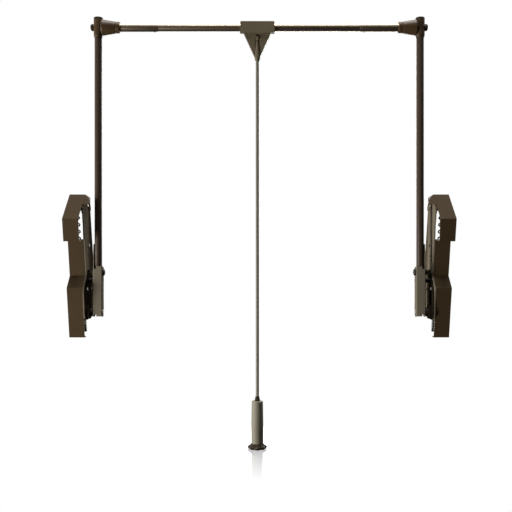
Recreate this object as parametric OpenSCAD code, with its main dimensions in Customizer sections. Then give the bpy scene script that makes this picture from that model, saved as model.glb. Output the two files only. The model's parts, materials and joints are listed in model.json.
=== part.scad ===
// Pull-down clothes rail for a wardrobe. Two spring units on the side walls carry a frame of two arms and a
// telescopic hanging rail, and a pull rod with a grip hangs from the middle of the rail.
// The origin is where the swing axis meets the left wall face. X runs along that axis to the right wall face,
// -Y is the front and +Z is up. The frame is drawn stowed, with its arms upright.
// Side pieces are drawn for the left wall, where X counts inwards from the wall, and mirrored for the right.

/* [Frame] */
// Clear width between the two wall faces
wall_gap = 1016; // [900:1:1090]
// Swing axis to the axis of the hanging rail
arm_length = 762; // [650:1:900]
// Wall face to the axis of the arm tube
arm_x = 77; // [76:1:90]
// Outer diameter of the arm tubes
arm_tube_d = 20; // [18:0.5:22]
// Outer diameter of the middle tube of the hanging rail
rail_tube_d = 20; // [18:0.5:22]
// Wall of the arm tubes and of the middle tube
tube_wall = 1.5; // [1.2:0.1:2]
// Wall of the outer sleeves of the hanging rail
sleeve_wall = 1; // [0.8:0.1:1.5]
// Length of an outer sleeve
sleeve_l = 140; // [120:1:170]
// Length of the middle tube inside each sleeve
rail_overlap = 65; // [60:1:75]

/* [Housing] */
// Height of the roof ridge over the swing axis
ridge_z = 315; // [305:1:330]
// How far the nose stands in front of the swing axis
nose_reach = 76; // [70:1:80]
// Height of the nose's upper edge
nose_top_z = 246; // [240:1:250]
// Height of the nose's lower edge
nose_low_z = 188; // [180:1:195]
// Height of the floor under the swing axis, as a depth
floor_drop = 68; // [64:1:75]
// Rear face behind the swing axis
rear_y = 70; // [69:1:80]
// Depth of the housing from the wall plate inwards
housing_depth = 39; // [39:0.5:44]
// Wall of the moulded housing
housing_wall = 2.5; // [2:0.1:3]
// Radius of the roof's rear corner
roof_corner_r = 24; // [15:1:30]

/* [Steel plates] */
// Wall plate
plate_t = 2; // [1.5:0.1:2.5]
// Cheek plate
cheek_t = 3; // [2:0.1:4]
// Width of the cheek's rear flange
flange_w = 9; // [6:0.5:12]
// Carrier plate
carrier_t = 3; // [2:0.1:4]
// Height of the carrier's boss over the cheek
boss_h = 12; // [10:0.5:14]
// Radius of the carrier's boss
boss_r = 18; // [15:0.5:19]
// Diameter of the standoffs
standoff_d = 8; // [7:0.5:8]
// Diameter of the cheek screws
cheek_screw_d = 4; // [3:0.5:5]

/* [Wall screws] */
// Diameter of the screw holes in the wall plate
wall_hole_d = 5.5; // [4.5:0.1:6]
// Spacing of the upper four holes, front to rear
wall_hole_dy = 32; // [30:1:34]
// Spacing of the upper four holes, up and down
wall_hole_dz = 128; // [120:1:130]
// Diameter of the clearance round a screw head
screw_clear_d = 11; // [10.5:0.1:12]

/* [Pivot and lever] */
// Full swing of the frame from upright to pulled down, in degrees
swing_max = 105; // [90:1:110]
// Diameter of the pivot shaft
shaft_d = 14; // [12:0.5:15]
// Wall of the pivot bushes
bush_wall = 2.5; // [2:0.1:3]
// Sheet of the lever
lever_t = 2; // [1.5:0.1:3]
// Height of the lever's web over the swing axis
lever_h = 123; // [115:1:140]
// Height of the lever's outer flange over the swing axis
flange_h = 182; // [165:1:200]
// Radius of the lever's foot round the shaft
lever_foot_r = 13; // [11:0.5:14]
// Height of the clamp bolt over the swing axis
clamp_z = 107; // [104:1:110]
// Diameter of the clamp bolt
clamp_d = 8; // [6:0.5:10]
// Diameter of the clamp bolt's domed head
clamp_head_d = 20; // [16:0.5:22]
// Diameter of the rubber stop
stop_d = 12; // [10:0.5:14]
// Height of the rubber stop over the swing axis
stop_z = 84; // [78:1:88]

/* [Balance mechanism] */
// Lean of the spring and the rack, tops forward, in degrees
lean = 12; // [11:0.5:12.5]
// Module of the teeth
tooth_m = 2; // [2:1:2]
// Teeth on a full turn of the sector gear
gear_teeth = 21; // [21:1:21]
// Width of the sector gear and the rack
gear_w = 5; // [4:0.5:6]
// Slack of each tooth at the pitch line
tooth_slack = 0.15; // [0.1:0.05:0.3]
// Spring axis behind the swing axis, square to the lean
spring_n = 40.5; // [40:0.5:41.5]
// Outer diameter of the spring
spring_d = 26; // [24:0.5:26]
// Wire of the spring
wire_d = 3.8; // [3:0.1:4.2]
// Turns of the spring
spring_turns = 19; // [12:1:22]
// Lower seat of the spring, below the swing axis along the lean
seat_drop = 58; // [56:0.5:59]
// Length of the spring at rest
spring_l = 330; // [320:1:331]
// Diameter of the guide rod in the spring
guide_d = 8; // [6:0.5:10]

/* [Elbows] */
// Outer diameter of the elbow's upright body
elbow_d = 24.6; // [24:0.2:28]
// Diameter of the cone at the upright body
cone_d1 = 42; // [36:1:46]
// Diameter of the cone at its mouth
cone_d2 = 30; // [28:1:34]
// Length of the cone
cone_l = 46; // [42:1:52]
// Diameter of the outer knob
knob_d = 18.5; // [16:0.5:22]
// Height of the top cap
cap_h = 5; // [4:0.5:9]

/* [Bracket and pull rod] */
// Width of the saddle
saddle_w = 91; // [84:1:110]
// Height of the saddle
saddle_h = 30; // [29:0.5:36]
// Depth of the saddle, front to rear
saddle_depth = 28; // [27:0.5:34]
// Sideways shift of the bracket from the middle
saddle_shift = -5; // [-20:1:20]
// Width of the slot for the rod socket
slot_w = 16; // [15:0.5:18]
// Diameter of the rod's hinge pin
rod_pin_d = 6; // [5:0.5:6]
// Diameter of the pull rod
rod_d = 8.8; // [8:0.2:9.2]
// Height of the grip's top end, as a drop below the swing axis
grip_drop = 237; // [200:1:260]
// Length of the grip without its foot
grip_l = 113; // [100:1:130]
// Diameter of the grip at its top
grip_d1 = 30; // [28:0.5:34]
// Diameter of the grip at its bottom
grip_d2 = 32.5; // [30:0.5:36]
// Diameter of the flared foot
foot_d = 53; // [46:1:60]

/* [Fits] */
// Radial clearance of a running fit
run_gap = 0.05; // [0.03:0.01:0.08]
// Radial clearance of a seated fit
seat_gap = 0.02; // [0.02:0.01:0.04]
// Gap between faces that pass each other
side_gap = 0.3; // [0.2:0.1:0.4]

/* [Hidden] */
$fn = 48;
SIDES = ["left", "right"];

// Colours
steel_black = "#2b261e";
moulded_black = "#46402f";
soft_black = "#1d1a16";
tube_brown = "#5a5040";
bright_steel = "#9a9488";
brass = "#8a7440";
grip_grey = "#6f6e60";

// A small length that lets cuts run past a face
eps = 0.5;

// Layers from the wall face inwards
housing_x1 = plate_t + housing_depth;
housing_in_x = plate_t + housing_wall;
cheek_x0 = housing_x1 + side_gap;
cheek_x1 = cheek_x0 + cheek_t;
carrier_x1 = cheek_x1 + carrier_t;
boss_x1 = cheek_x1 + boss_h;
lever_half = arm_tube_d / 2 + side_gap / 3;
lever_x0 = arm_x - lever_half - lever_t;
lever_x1 = arm_x + lever_half + lever_t;
web_y = -lever_half - lever_t;
lever_rear_y = lever_half + 1;

// Outline of the housing, front to rear and up, as seen from the right
undercut_top = [-20, 192];
recess_low = [1, 97];
block_top = [-31, 65];
block_low_y = -3;
nose_low_y = -nose_reach + 13;
roof_fall = 15;
roof_steps = 4;
housing_outline = concat(
    [[0, ridge_z], [-nose_reach, nose_top_z], [nose_low_y, nose_low_z], undercut_top, recess_low, block_top,
        [block_low_y, -floor_drop], [rear_y, -floor_drop]],
    [for (i = [0:roof_steps])
        let (angle = 75 * i / roof_steps)
        [rear_y - roof_corner_r * (1 - cos(angle)),
            ridge_z - roof_fall - roof_corner_r * (1 - sin(angle))]]);
lip_w = 4;
plate_inset = 3;
floor_cut_x = 20;
floor_cut_y = 12;

// The hood at the inner end of the roof covers the top of the cheek. Its outline runs inwards and up, and the
// hollow under it has the same outline from further out and further down
hood_low_z = ridge_z - 29;
hood_rear_y = 40;
hood_w = 19;
function hood_outline(x0, z0) = [[x0, z0], [housing_x1 + 15, z0], [housing_x1 + 18, ridge_z - 26],
    [housing_x1 + hood_w, ridge_z - 22], [housing_x1 + 17, ridge_z - 17], [housing_x1 + 12.5, ridge_z - 11],
    [housing_x1 + 6.5, ridge_z - 4.5], [housing_x1, ridge_z], [x0, ridge_z]];

// Outline of the cheek. Its front edge stands just behind the housing's, apart from the gap at the nose
edge_step = 0.5;
cheek_top_z = ridge_z - 17;
cheek_rear_top = [34, cheek_top_z];
cheek_rear_low = [62, -16];
cheek_foot_r = 21;
cheek_outline = [[-13, cheek_top_z], [-27, ridge_z - 30], [-33.5, ridge_z - 37], [-33, 252], [-26, 232],
    [-23, 206], undercut_top + [edge_step, 0], recess_low + [edge_step, edge_step], block_top + [1, -edge_step],
    [-cheek_foot_r - 1, 15], [-cheek_foot_r, 0], [0, -cheek_foot_r], cheek_rear_low, cheek_rear_top];
flange_t = 3;

// Outline of the carrier
carrier_top_z = 112;
carrier_outline = [[-24, 52], [-cheek_foot_r, 0], [0, -cheek_foot_r], [50, -18], [43, carrier_top_z],
    [16, carrier_top_z], [-14, 75]];

// Standoffs and wall screws, each front to rear and up
upper_standoffs = [[12, 288], [30, 178]];
lower_standoffs = [[47, 60], [-6, 62]];
standoff_bore_l = 14;
cheek_screw_l = 13;
screw_head_d = 7.6;
screw_head_h = 2.4;
hex_key_r = 1.6;
driver_hole_r = 5;
wall_hole_y = 42;
wall_hole_z = 214;
wall_holes = [for (y = [-1, 1], z = [-1, 1])
    [wall_hole_y + y * wall_hole_dy / 2, wall_hole_z + z * wall_hole_dz / 2]];
low_hole = [18, -44];

// Teeth
pitch_r = tooth_m * gear_teeth / 2;
pressure = 20;
base_r = pitch_r * cos(pressure);
tip_r = pitch_r + tooth_m;
root_r = pitch_r - 1.25 * tooth_m;
tooth_pitch = PI * tooth_m;
tooth_half = (tooth_pitch / 2 - tooth_slack) / 2;
sector_teeth = 7;
gear_hub_r = 11;
gear_x1 = 37;
gear_x0 = gear_x1 - gear_w;
gear_hub_x0 = gear_x0 - 4;
gear_hub_x1 = gear_x1 + 1.5;
flank_steps = 5;

// Rack and spring, in the leaning frame
rack_front_n = pitch_r + 1.25 * tooth_m;
rack_back_n = 31;
rack_root = 1.5 * tooth_m;
rack_teeth = [-8:1];
rack_top_t = 16;
follower_t = 5;
follower_n0 = rack_front_n + 2;
spring_r = spring_d / 2;
spring_wall_gap = 0.5;
spring_x = housing_in_x + spring_wall_gap + spring_r;
spring_top_t = spring_l - seat_drop;
seat_t = 5;
seat_x0 = housing_in_x + 1;
seat_tab_t = 3;
seat_tab_h = 10;
seat_front_n = spring_n - spring_r + spring_wall_gap;
seat_rear_n = spring_n + spring_r;
travel_spare = 3;
guide_low_t = -seat_drop - follower_t - travel_spare;
guide_collar_r = guide_d / 2 + 2.5;
guide_collar_h = 4;
rack_travel = pitch_r * swing_max * PI / 180;
rack_guide_low_t = -seat_drop + rack_travel + travel_spare;
rack_guide_l = 52;
rack_guide_t = 5.7;
spigot_h = 6;
spigot_r = spring_r - wire_d - 1;

// Bushes and shaft
bush_r = shaft_d / 2 + bush_wall;
outer_bush_l = 9;
outer_flange_r = 11;
outer_flange_t = 2;
inner_bush_x0 = cheek_x0 - 1;
shaft_x0 = plate_t + 1;
shaft_end_gap = 0.5;
shaft_x1 = lever_x1 + 1.5;
spacer_r = 12;
stop_y = lever_rear_y + side_gap + stop_d / 2;

// Lever and clamp bolt
web_low_z = -lever_foot_r + 2;
lever_ear = 12;
flange_slope = 18;
lever_corner = 6;
web_notch = 7;
notch_over = 1;
bolt_tail = 8;
nut_r = 7.2;
nut_h = 6.5;
head_edge = 2;
head_rise = 4.6;
head_steps = 6;

// Elbow and rail
rail_z = arm_length;
elbow_r = elbow_d / 2;
cone_x0 = arm_x + elbow_r;
cone_x1 = cone_x0 + cone_l;
socket_depth = 38;
sleeve_x0 = cone_x1 - socket_depth;
sleeve_x1 = sleeve_x0 + sleeve_l;
sleeve_in_r = rail_tube_d / 2 + run_gap;
sleeve_r = sleeve_in_r + sleeve_wall;
elbow_top_z = rail_z + cone_d1 / 2 + 0.5;
elbow_low_z = rail_z - 27;
taper_h = 6;
arm_tube_z0 = 16;
arm_tube_z1 = elbow_top_z - 8;
knob_screw_d = 6;
knob_l = 7;
knob_screw_x1 = sleeve_x0 - 2;
knob_x1 = arm_x - elbow_r - 0.6;
knob_bevel = 2.5;
edge_bevel = 1.5;
cone_foot_l = 3;
cone_collar_l = 11;
cap_plug_h = 5;
cap_plug_gap = 0.2;
sleeve_screw_r = 2;
sleeve_screw_inset = 9;
sleeve_screw_proud = 1.2;

// Bracket, rod and grip
saddle_x = wall_gap / 2 + saddle_shift;
saddle_z0 = rail_z - saddle_h / 2 - 2;
saddle_y0 = -saddle_depth / 2;
saddle_lip = 1.2;
lip_step = 1;
lug_y0 = saddle_y0 + 6.5;
lug_y1 = 8;
lug_half_w = 36;
lug_low_z = saddle_z0 - 61;
lug_low_w = 8;
rod_y = -4;
pin_z = saddle_z0 - 12;
slot_top_z = saddle_z0 - 3;
eye_r = 6.8;
eye_half_w = 2.9;
socket_r = slot_w / 2 - side_gap;
slot_rear_y = rod_y + socket_r + side_gap;
socket_low_z = lug_low_z - 13;
collar_r = socket_r + 0.2;
collar_h = 3;
collar_top_z = lug_low_z - 1.5;
socket_foot_r = rod_d / 2 + 1;
rod_top_z = pin_z - 30;
pin_inset = 2;
// Section of the rear clamp, rearwards and up from the rail's axis. Its tongue is screwed to the yoke
clamp_section = [[side_gap, -12.5], [8, -10.5], [12.5, -6.5], [12.5, 8], [8, 12], [side_gap, 13]];
tongue_half_w = 24;
tongue_t = 3.5;
tongue_low_z = saddle_z0 - 13;
bracket_screw_d = 3;
bracket_screw_l = 7;
bracket_bore_l = 7.5;
bracket_head_r = 2.4;
bracket_head_h = 1.8;
bracket_screw_x = 17;
bracket_screw_z = saddle_z0 - 7;
grip_top_z = -grip_drop;
grip_low_z = grip_top_z - grip_l;
rod_low_z = grip_top_z - 60;
ferrule_h = 12;
ferrule_wall = 0.8;
foot_h = 14;
foot_spigot_h = 8;
foot_spigot_inset = 5;
foot_rim_h = 4;
foot_rim_t = 2;
foot_neck_h = 3;
foot_sole_w = 6;
foot_bore_w = 2;
spigot_gap = 1;

// Geometry helpers
function unit(v) = v / norm(v);
function left_of(v) = [-v[1], v[0]];
// A closed outline that runs anticlockwise, moved inwards by d
function inset(outline, d) = [for (i = [0:len(outline) - 1])
    let (p = outline[i],
        before = left_of(unit(p - outline[(i + len(outline) - 1) % len(outline)])),
        after = left_of(unit(outline[(i + 1) % len(outline)] - p)))
    p + d * (before + after) / (1 + before * after)];
// Involute angle in degrees
function involute(a) = tan(a) * 180 / PI - a;
// Half angle of a gear tooth at a radius
function tooth_angle(r) = tooth_half / pitch_r * 180 / PI + involute(pressure)
    - (r > base_r ? involute(acos(base_r / r)) : 0);
function polar(r, a) = [r * cos(a), r * sin(a)];

// Puts a drawing of front-to-rear and up onto the plane at x, with thickness h towards +X
module sheet(x, h) {
    translate([x, 0, 0]) rotate([90, 0, 90]) linear_extrude(height = h) children();
}
// A cylinder along X between x0 and x1
module bar_x(r, x0, x1, y = 0, z = 0) {
    translate([x0, y, z]) rotate([0, 90, 0]) cylinder(r = r, h = x1 - x0);
}
// A cylinder along Z between z0 and z1
module bar_z(r, z0, z1, x = 0, y = 0) {
    translate([x, y, z0]) cylinder(r = r, h = z1 - z0);
}
// The leaning frame of the balance mechanism: X inwards, Y square to the lean, Z along it
module leaning() {
    rotate([lean, 0, 0]) children();
}
// Moves a left-hand piece to its side
module on_side(side) {
    if (side == "left") children();
    else translate([wall_gap, 0, 0]) mirror([1, 0, 0]) children();
}

// Fixed pieces of a side unit

module wall_plate() {
    color(steel_black) difference() {
        sheet(0, plate_t) polygon(inset(housing_outline, plate_inset));
        for (p = wall_holes) bar_x(wall_hole_d / 2, -eps, plate_t + eps, p[0], p[1]);
        bar_x(wall_hole_d / 2, -eps, plate_t + eps, low_hole[0], low_hole[1]);
    }
}

module hood(outline, body_outline, rear_y) {
    intersection() {
        translate([0, rear_y, 0]) rotate([90, 0, 0]) linear_extrude(height = rear_y + nose_reach)
            polygon(outline);
        sheet(housing_x1 - 2 * eps, hood_w + 2 * eps) polygon(body_outline);
    }
}

module housing() {
    color(moulded_black) difference() {
        union() {
            sheet(0, housing_x1) polygon(housing_outline);
            hood(hood_outline(housing_in_x, hood_low_z), housing_outline, hood_rear_y);
        }
        sheet(-eps, plate_t + eps) polygon(inset(housing_outline, plate_inset - side_gap));
        sheet(housing_in_x, housing_depth) polygon(inset(housing_outline, housing_wall));
        hood(inset(hood_outline(housing_in_x - hood_w, hood_low_z - hood_w), housing_wall),
            inset(housing_outline, housing_wall), hood_rear_y + eps);
        translate([plate_t + lip_w, rear_y - 2 * housing_wall, -floor_drop + housing_wall])
            cube([housing_depth, 3 * housing_wall,
                floor_drop - housing_wall + ridge_z - roof_fall - roof_corner_r]);
        translate([floor_cut_x, floor_cut_y, -floor_drop - eps])
            cube([housing_depth, rear_y, housing_wall + 2 * eps]);
        for (p = concat(wall_holes, [low_hole]))
            bar_x(screw_clear_d / 2, plate_t - eps, housing_in_x + eps, p[0], p[1]);
        for (p = concat(upper_standoffs, lower_standoffs))
            bar_x(standoff_d / 2 + side_gap, plate_t - eps, housing_in_x + eps, p[0], p[1]);
        bar_x(bush_r + seat_gap, plate_t - eps, housing_in_x + eps);
    }
}

module cheek() {
    flange = [cheek_rear_low, cheek_rear_top, cheek_rear_top - [flange_t, 0], cheek_rear_low - [flange_t, 0]];
    color(steel_black) difference() {
        union() {
            sheet(cheek_x0, cheek_t) polygon(cheek_outline);
            sheet(cheek_x0, cheek_t) circle(r = cheek_foot_r);
            sheet(cheek_x0, cheek_t + flange_w) polygon(flange);
        }
        bar_x(bush_r + seat_gap, cheek_x0 - eps, cheek_x1 + eps);
        for (p = concat(upper_standoffs, lower_standoffs))
            bar_x(cheek_screw_d / 2 + side_gap / 2, cheek_x0 - eps, cheek_x1 + eps, p[0], p[1]);
        for (z = [-1, 1])
            bar_x(driver_hole_r, cheek_x0 - eps, cheek_x1 + eps,
                wall_hole_y - wall_hole_dy / 2, wall_hole_z + z * wall_hole_dz / 2);
    }
}

module carrier() {
    color(soft_black) difference() {
        union() {
            sheet(cheek_x1, carrier_t) polygon(carrier_outline);
            sheet(cheek_x1, carrier_t) circle(r = cheek_foot_r);
            sheet(cheek_x1, boss_h) circle(r = boss_r);
        }
        bar_x(bush_r + seat_gap, cheek_x1 - eps, boss_x1 + eps);
        for (p = lower_standoffs)
            bar_x(cheek_screw_d / 2 + side_gap / 2, cheek_x1 - eps, carrier_x1 + eps, p[0], p[1]);
        bar_x(stop_d / 4 + seat_gap, cheek_x1 - eps, carrier_x1 + eps, stop_y, stop_z);
    }
}

module standoffs() {
    color(bright_steel) for (p = concat(upper_standoffs, lower_standoffs))
        difference() {
            bar_x(standoff_d / 2, plate_t, cheek_x0, p[0], p[1]);
            bar_x(cheek_screw_d / 2 + seat_gap, cheek_x0 - standoff_bore_l, cheek_x0 + eps, p[0], p[1]);
        }
}

module cheek_screw(p, seat_x) {
    bar_x(cheek_screw_d / 2, cheek_x0 - cheek_screw_l, seat_x + eps, p[0], p[1]);
    difference() {
        bar_x(screw_head_d / 2, seat_x, seat_x + screw_head_h, p[0], p[1]);
        translate([seat_x + screw_head_h / 2, p[0], p[1]]) rotate([0, 90, 0])
            cylinder(r = hex_key_r, h = screw_head_h, $fn = 6);
    }
}
module cheek_screws() {
    color(bright_steel) {
        for (p = upper_standoffs) cheek_screw(p, cheek_x1);
        for (p = lower_standoffs) cheek_screw(p, carrier_x1);
    }
}

module outer_bush() {
    color(brass) difference() {
        union() {
            bar_x(bush_r, plate_t, plate_t + outer_bush_l);
            bar_x(outer_flange_r, housing_in_x, housing_in_x + outer_flange_t);
        }
        bar_x(shaft_d / 2 + run_gap, shaft_x0 - shaft_end_gap, plate_t + outer_bush_l + eps);
    }
}

module inner_bush() {
    color(brass) difference() {
        bar_x(bush_r, inner_bush_x0, boss_x1);
        bar_x(shaft_d / 2 + run_gap, inner_bush_x0 - eps, boss_x1 + eps);
    }
}

module rack_guide() {
    color(moulded_black) leaning()
        translate([gear_x0, rack_back_n + side_gap, rack_guide_low_t])
            cube([cheek_x0 - seat_gap - gear_x0, rack_guide_t, rack_guide_l]);
}

module upper_seat() {
    color(steel_black) leaning() difference() {
        union() {
            translate([seat_x0, seat_front_n, spring_top_t])
                cube([cheek_x0 - seat_gap - seat_x0, seat_rear_n - seat_front_n, seat_t]);
            translate([cheek_x0 - seat_tab_t, seat_front_n, spring_top_t - seat_tab_h])
                cube([seat_tab_t - seat_gap, seat_rear_n - seat_front_n, seat_tab_h + seat_t]);
            bar_z(spigot_r, spring_top_t - spigot_h, spring_top_t + eps, spring_x, spring_n);
        }
        bar_z(guide_d / 2 + seat_gap, spring_top_t - spigot_h - eps, spring_top_t + seat_t + eps,
            spring_x, spring_n);
    }
}

module guide_rod() {
    color(bright_steel) leaning() {
        bar_z(guide_d / 2, guide_low_t, spring_top_t + seat_t + eps, spring_x, spring_n);
        bar_z(guide_collar_r, spring_top_t + seat_t, spring_top_t + seat_t + guide_collar_h,
            spring_x, spring_n);
    }
}

// The spring is one unbroken wire: straight for one wire diameter at each seat, and a helix between
coil_rings = 8;
coil_sides = 6;
coil_r = spring_r - wire_d / 2;
coil_count = spring_turns * coil_rings;
helix_l = spring_l - 2 * wire_d;
coil_points = concat(
    [[0, -seat_drop]],
    [for (i = [0:coil_count]) [360 * i / coil_rings, -seat_drop + wire_d + helix_l * i / coil_count]],
    [[360 * spring_turns, spring_top_t]]);
function coil_place(p) = [spring_x + coil_r * cos(p[0]), spring_n + coil_r * sin(p[0]), p[1]];
coil_path = [for (p = coil_points) coil_place(p)];
coil_last = len(coil_path) - 1;
function coil_ring(i) =
    let (away = [cos(coil_points[i][0]), sin(coil_points[i][0]), 0],
        along = unit(coil_path[min(i + 1, coil_last)] - coil_path[max(i - 1, 0)]),
        side = cross(along, away))
    [for (j = [0:coil_sides - 1])
        coil_path[i] + wire_d / 2 * (cos(360 * j / coil_sides) * away + sin(360 * j / coil_sides) * side)];
coil_mesh = [for (i = [0:coil_last]) each coil_ring(i)];
function coil_index(i, j) = i * coil_sides + j % coil_sides;
coil_faces = concat(
    [for (i = [0:coil_last - 1], j = [0:coil_sides - 1])
        each [[coil_index(i, j), coil_index(i + 1, j), coil_index(i + 1, j + 1)],
            [coil_index(i, j), coil_index(i + 1, j + 1), coil_index(i, j + 1)]]],
    [for (j = [1:coil_sides - 2])
        each [[coil_index(0, 0), coil_index(0, j), coil_index(0, j + 1)],
            [coil_index(coil_last, 0), coil_index(coil_last, j + 1), coil_index(coil_last, j)]]]);
coil_gap = min([for (i = [0:coil_last - coil_rings + 1])
    for (j = [i + coil_rings - 1:min(i + 2 * coil_rings, coil_last)])
        norm(coil_path[i] - coil_path[j])]) - wire_d;
echo(str("Least gap of the spring wire to itself, mm: ", coil_gap));

module spring() {
    color(bright_steel) leaning() polyhedron(points = coil_mesh, faces = coil_faces);
}

module stop_buffer() {
    color(soft_black) union() {
        bar_x(stop_d / 2, carrier_x1, lever_x1 - lever_t, stop_y, stop_z);
        bar_x(stop_d / 4, cheek_x1, carrier_x1 + eps, stop_y, stop_z);
    }
}

// The rack slides along the lean and carries the spring's lower end

module rack_tooth(t) {
    tip = tooth_half - tooth_m * tan(pressure);
    foot = tooth_half + rack_root * tan(pressure);
    sheet(gear_x0, gear_w) polygon([[pitch_r - tooth_m, t - tip], [pitch_r + rack_root, t - foot],
        [pitch_r + rack_root, t + foot], [pitch_r - tooth_m, t + tip]]);
}
module rack() {
    color(bright_steel) leaning() difference() {
        union() {
            translate([gear_x0, rack_front_n, -seat_drop - follower_t])
                cube([gear_w, rack_back_n - rack_front_n, rack_top_t + seat_drop + follower_t]);
            for (i = rack_teeth) rack_tooth((i + 0.5) * tooth_pitch);
            translate([seat_x0, follower_n0, -seat_drop - follower_t])
                cube([gear_x1 - seat_x0, rack_back_n - follower_n0, follower_t]);
            bar_z(spring_r, -seat_drop - follower_t, -seat_drop, spring_x, spring_n);
            bar_z(spigot_r, -seat_drop - eps, -seat_drop + spigot_h, spring_x, spring_n);
        }
        bar_z(guide_d / 2 + run_gap, -seat_drop - follower_t - eps, -seat_drop + spigot_h + eps,
            spring_x, spring_n);
    }
}

// Pieces that swing with the arms

module pivot_shaft() {
    color(bright_steel) bar_x(shaft_d / 2, shaft_x0, shaft_x1);
}

module gear_tooth(angle) {
    flank = [for (i = [0:flank_steps]) base_r + (tip_r - base_r) * i / flank_steps];
    low = root_r - 1;
    sheet(gear_x0, gear_w) rotate(angle) polygon(concat(
        [polar(low, -tooth_angle(low))],
        [for (r = flank) polar(r, -tooth_angle(r))],
        [for (i = [flank_steps:-1:0]) polar(flank[i], tooth_angle(flank[i]))],
        [polar(low, tooth_angle(low))]));
}
module sector_gear() {
    step = 360 / gear_teeth;
    span = sector_teeth * step;
    far = 2 * root_r;
    color(bright_steel) leaning() difference() {
        union() {
            intersection() {
                sheet(gear_x0, gear_w) circle(r = root_r);
                sheet(gear_x0, gear_w) polygon(concat([[0, 0]],
                    [for (i = [0:4]) polar(far, step / 2 - span * (1 - i / 4))]));
            }
            bar_x(gear_hub_r, gear_hub_x0, gear_hub_x1);
            for (i = [0:sector_teeth - 1]) gear_tooth(-i * step);
        }
        bar_x(shaft_d / 2 + seat_gap, gear_hub_x0 - eps, gear_hub_x1 + eps);
    }
}

module spacer_ring() {
    color(bright_steel) difference() {
        bar_x(spacer_r, boss_x1 + side_gap, lever_x0);
        bar_x(shaft_d / 2 + seat_gap, boss_x1, lever_x0 + eps);
    }
}

module lever() {
    foot = [[web_y, -2], [lever_foot_r, 0], [lever_rear_y, 3 * lever_foot_r]];
    inner = concat(foot, [[lever_rear_y, clamp_z + lever_ear], [web_y + lever_corner, lever_h],
        [web_y, lever_h]]);
    outer = concat(foot, [[lever_rear_y, flange_h - flange_slope], [lever_rear_y - lever_corner, flange_h],
        [web_y + lever_corner, flange_h], [web_y + lever_t, lever_h], [web_y, lever_h]]);
    color(steel_black) difference() {
        union() {
            sheet(lever_x0, lever_t) polygon(outer);
            sheet(lever_x1 - lever_t, lever_t) polygon(inner);
            for (x = [lever_x0, lever_x1 - lever_t]) bar_x(lever_foot_r, x, x + lever_t);
            translate([lever_x0, web_y, web_low_z])
                cube([lever_x1 - lever_x0, lever_t, lever_h - web_low_z]);
        }
        for (x = [lever_x0, lever_x1 - lever_t]) {
            bar_x(shaft_d / 2 + seat_gap, x - eps, x + lever_t + eps);
            bar_x(clamp_d / 2 + seat_gap, x - eps, x + lever_t + eps, 0, clamp_z);
        }
        for (z = [web_low_z - notch_over - eps, lever_h - web_notch])
            translate([lever_x0 + lever_t, web_y - eps, z])
                cube([web_notch, lever_t + 2 * eps, web_notch + notch_over]);
    }
}

module clamp_bolt() {
    color(soft_black) {
        bar_x(clamp_d / 2, lever_x0 - bolt_tail, lever_x1 + eps, 0, clamp_z);
        translate([lever_x1, 0, clamp_z]) rotate([0, 90, 0]) rotate_extrude()
            polygon(concat([[0, 0], [clamp_head_d / 2, 0]],
                [for (i = [0:head_steps]) let (a = 90 * i / head_steps)
                    [clamp_head_d / 2 * cos(a), head_edge + head_rise * sin(a)]]));
    }
    color(bright_steel) difference() {
        translate([lever_x0 - nut_h, 0, clamp_z]) rotate([0, 90, 0])
            cylinder(r = nut_r, h = nut_h, $fn = 6);
        bar_x(clamp_d / 2 + seat_gap, lever_x0 - nut_h - eps, lever_x0 + eps, 0, clamp_z);
    }
}

module arm_tube() {
    color(tube_brown) difference() {
        bar_z(arm_tube_d / 2, arm_tube_z0, arm_tube_z1, arm_x);
        bar_z(arm_tube_d / 2 - tube_wall, arm_tube_z0 - eps, arm_tube_z1 + eps, arm_x);
        bar_x(clamp_d / 2 + seat_gap, arm_x - arm_tube_d, arm_x + arm_tube_d, 0, clamp_z);
        bar_x(knob_screw_d / 2 + seat_gap, arm_x - arm_tube_d, arm_x + arm_tube_d, 0, rail_z);
    }
}

module elbow() {
    color(moulded_black) difference() {
        union() {
            bar_z(elbow_r, elbow_low_z + taper_h, elbow_top_z, arm_x);
            translate([arm_x, 0, elbow_low_z]) cylinder(r1 = elbow_r - edge_bevel, r2 = elbow_r, h = taper_h);
            translate([cone_x0 - cone_foot_l, 0, rail_z]) rotate([0, 90, 0])
                cylinder(r1 = cone_d1 / 2 - edge_bevel, r2 = cone_d1 / 2, h = cone_foot_l);
            translate([cone_x0, 0, rail_z]) rotate([0, 90, 0])
                cylinder(r1 = cone_d1 / 2, r2 = cone_d2 / 2, h = cone_l - cone_collar_l);
            bar_x(cone_d2 / 2, cone_x1 - cone_collar_l, cone_x1, 0, rail_z);
            bar_x(knob_d / 2 - 1, knob_x1, arm_x, 0, rail_z);
        }
        bar_z(arm_tube_d / 2 + seat_gap, elbow_low_z - eps, elbow_top_z + eps, arm_x);
        bar_x(sleeve_r + seat_gap, sleeve_x0, cone_x1 + eps, 0, rail_z);
        bar_x(knob_screw_d / 2 + seat_gap, arm_x - elbow_d, sleeve_x0 - 1, 0, rail_z);
    }
}

module elbow_cap() {
    color(soft_black) union() {
        bar_z(elbow_r, elbow_top_z, elbow_top_z + cap_h - edge_bevel, arm_x);
        translate([arm_x, 0, elbow_top_z + cap_h - edge_bevel])
            cylinder(r1 = elbow_r, r2 = elbow_r - edge_bevel, h = edge_bevel);
        bar_z(arm_tube_d / 2 - cap_plug_gap, elbow_top_z - cap_plug_h, elbow_top_z + eps, arm_x);
    }
}

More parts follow.
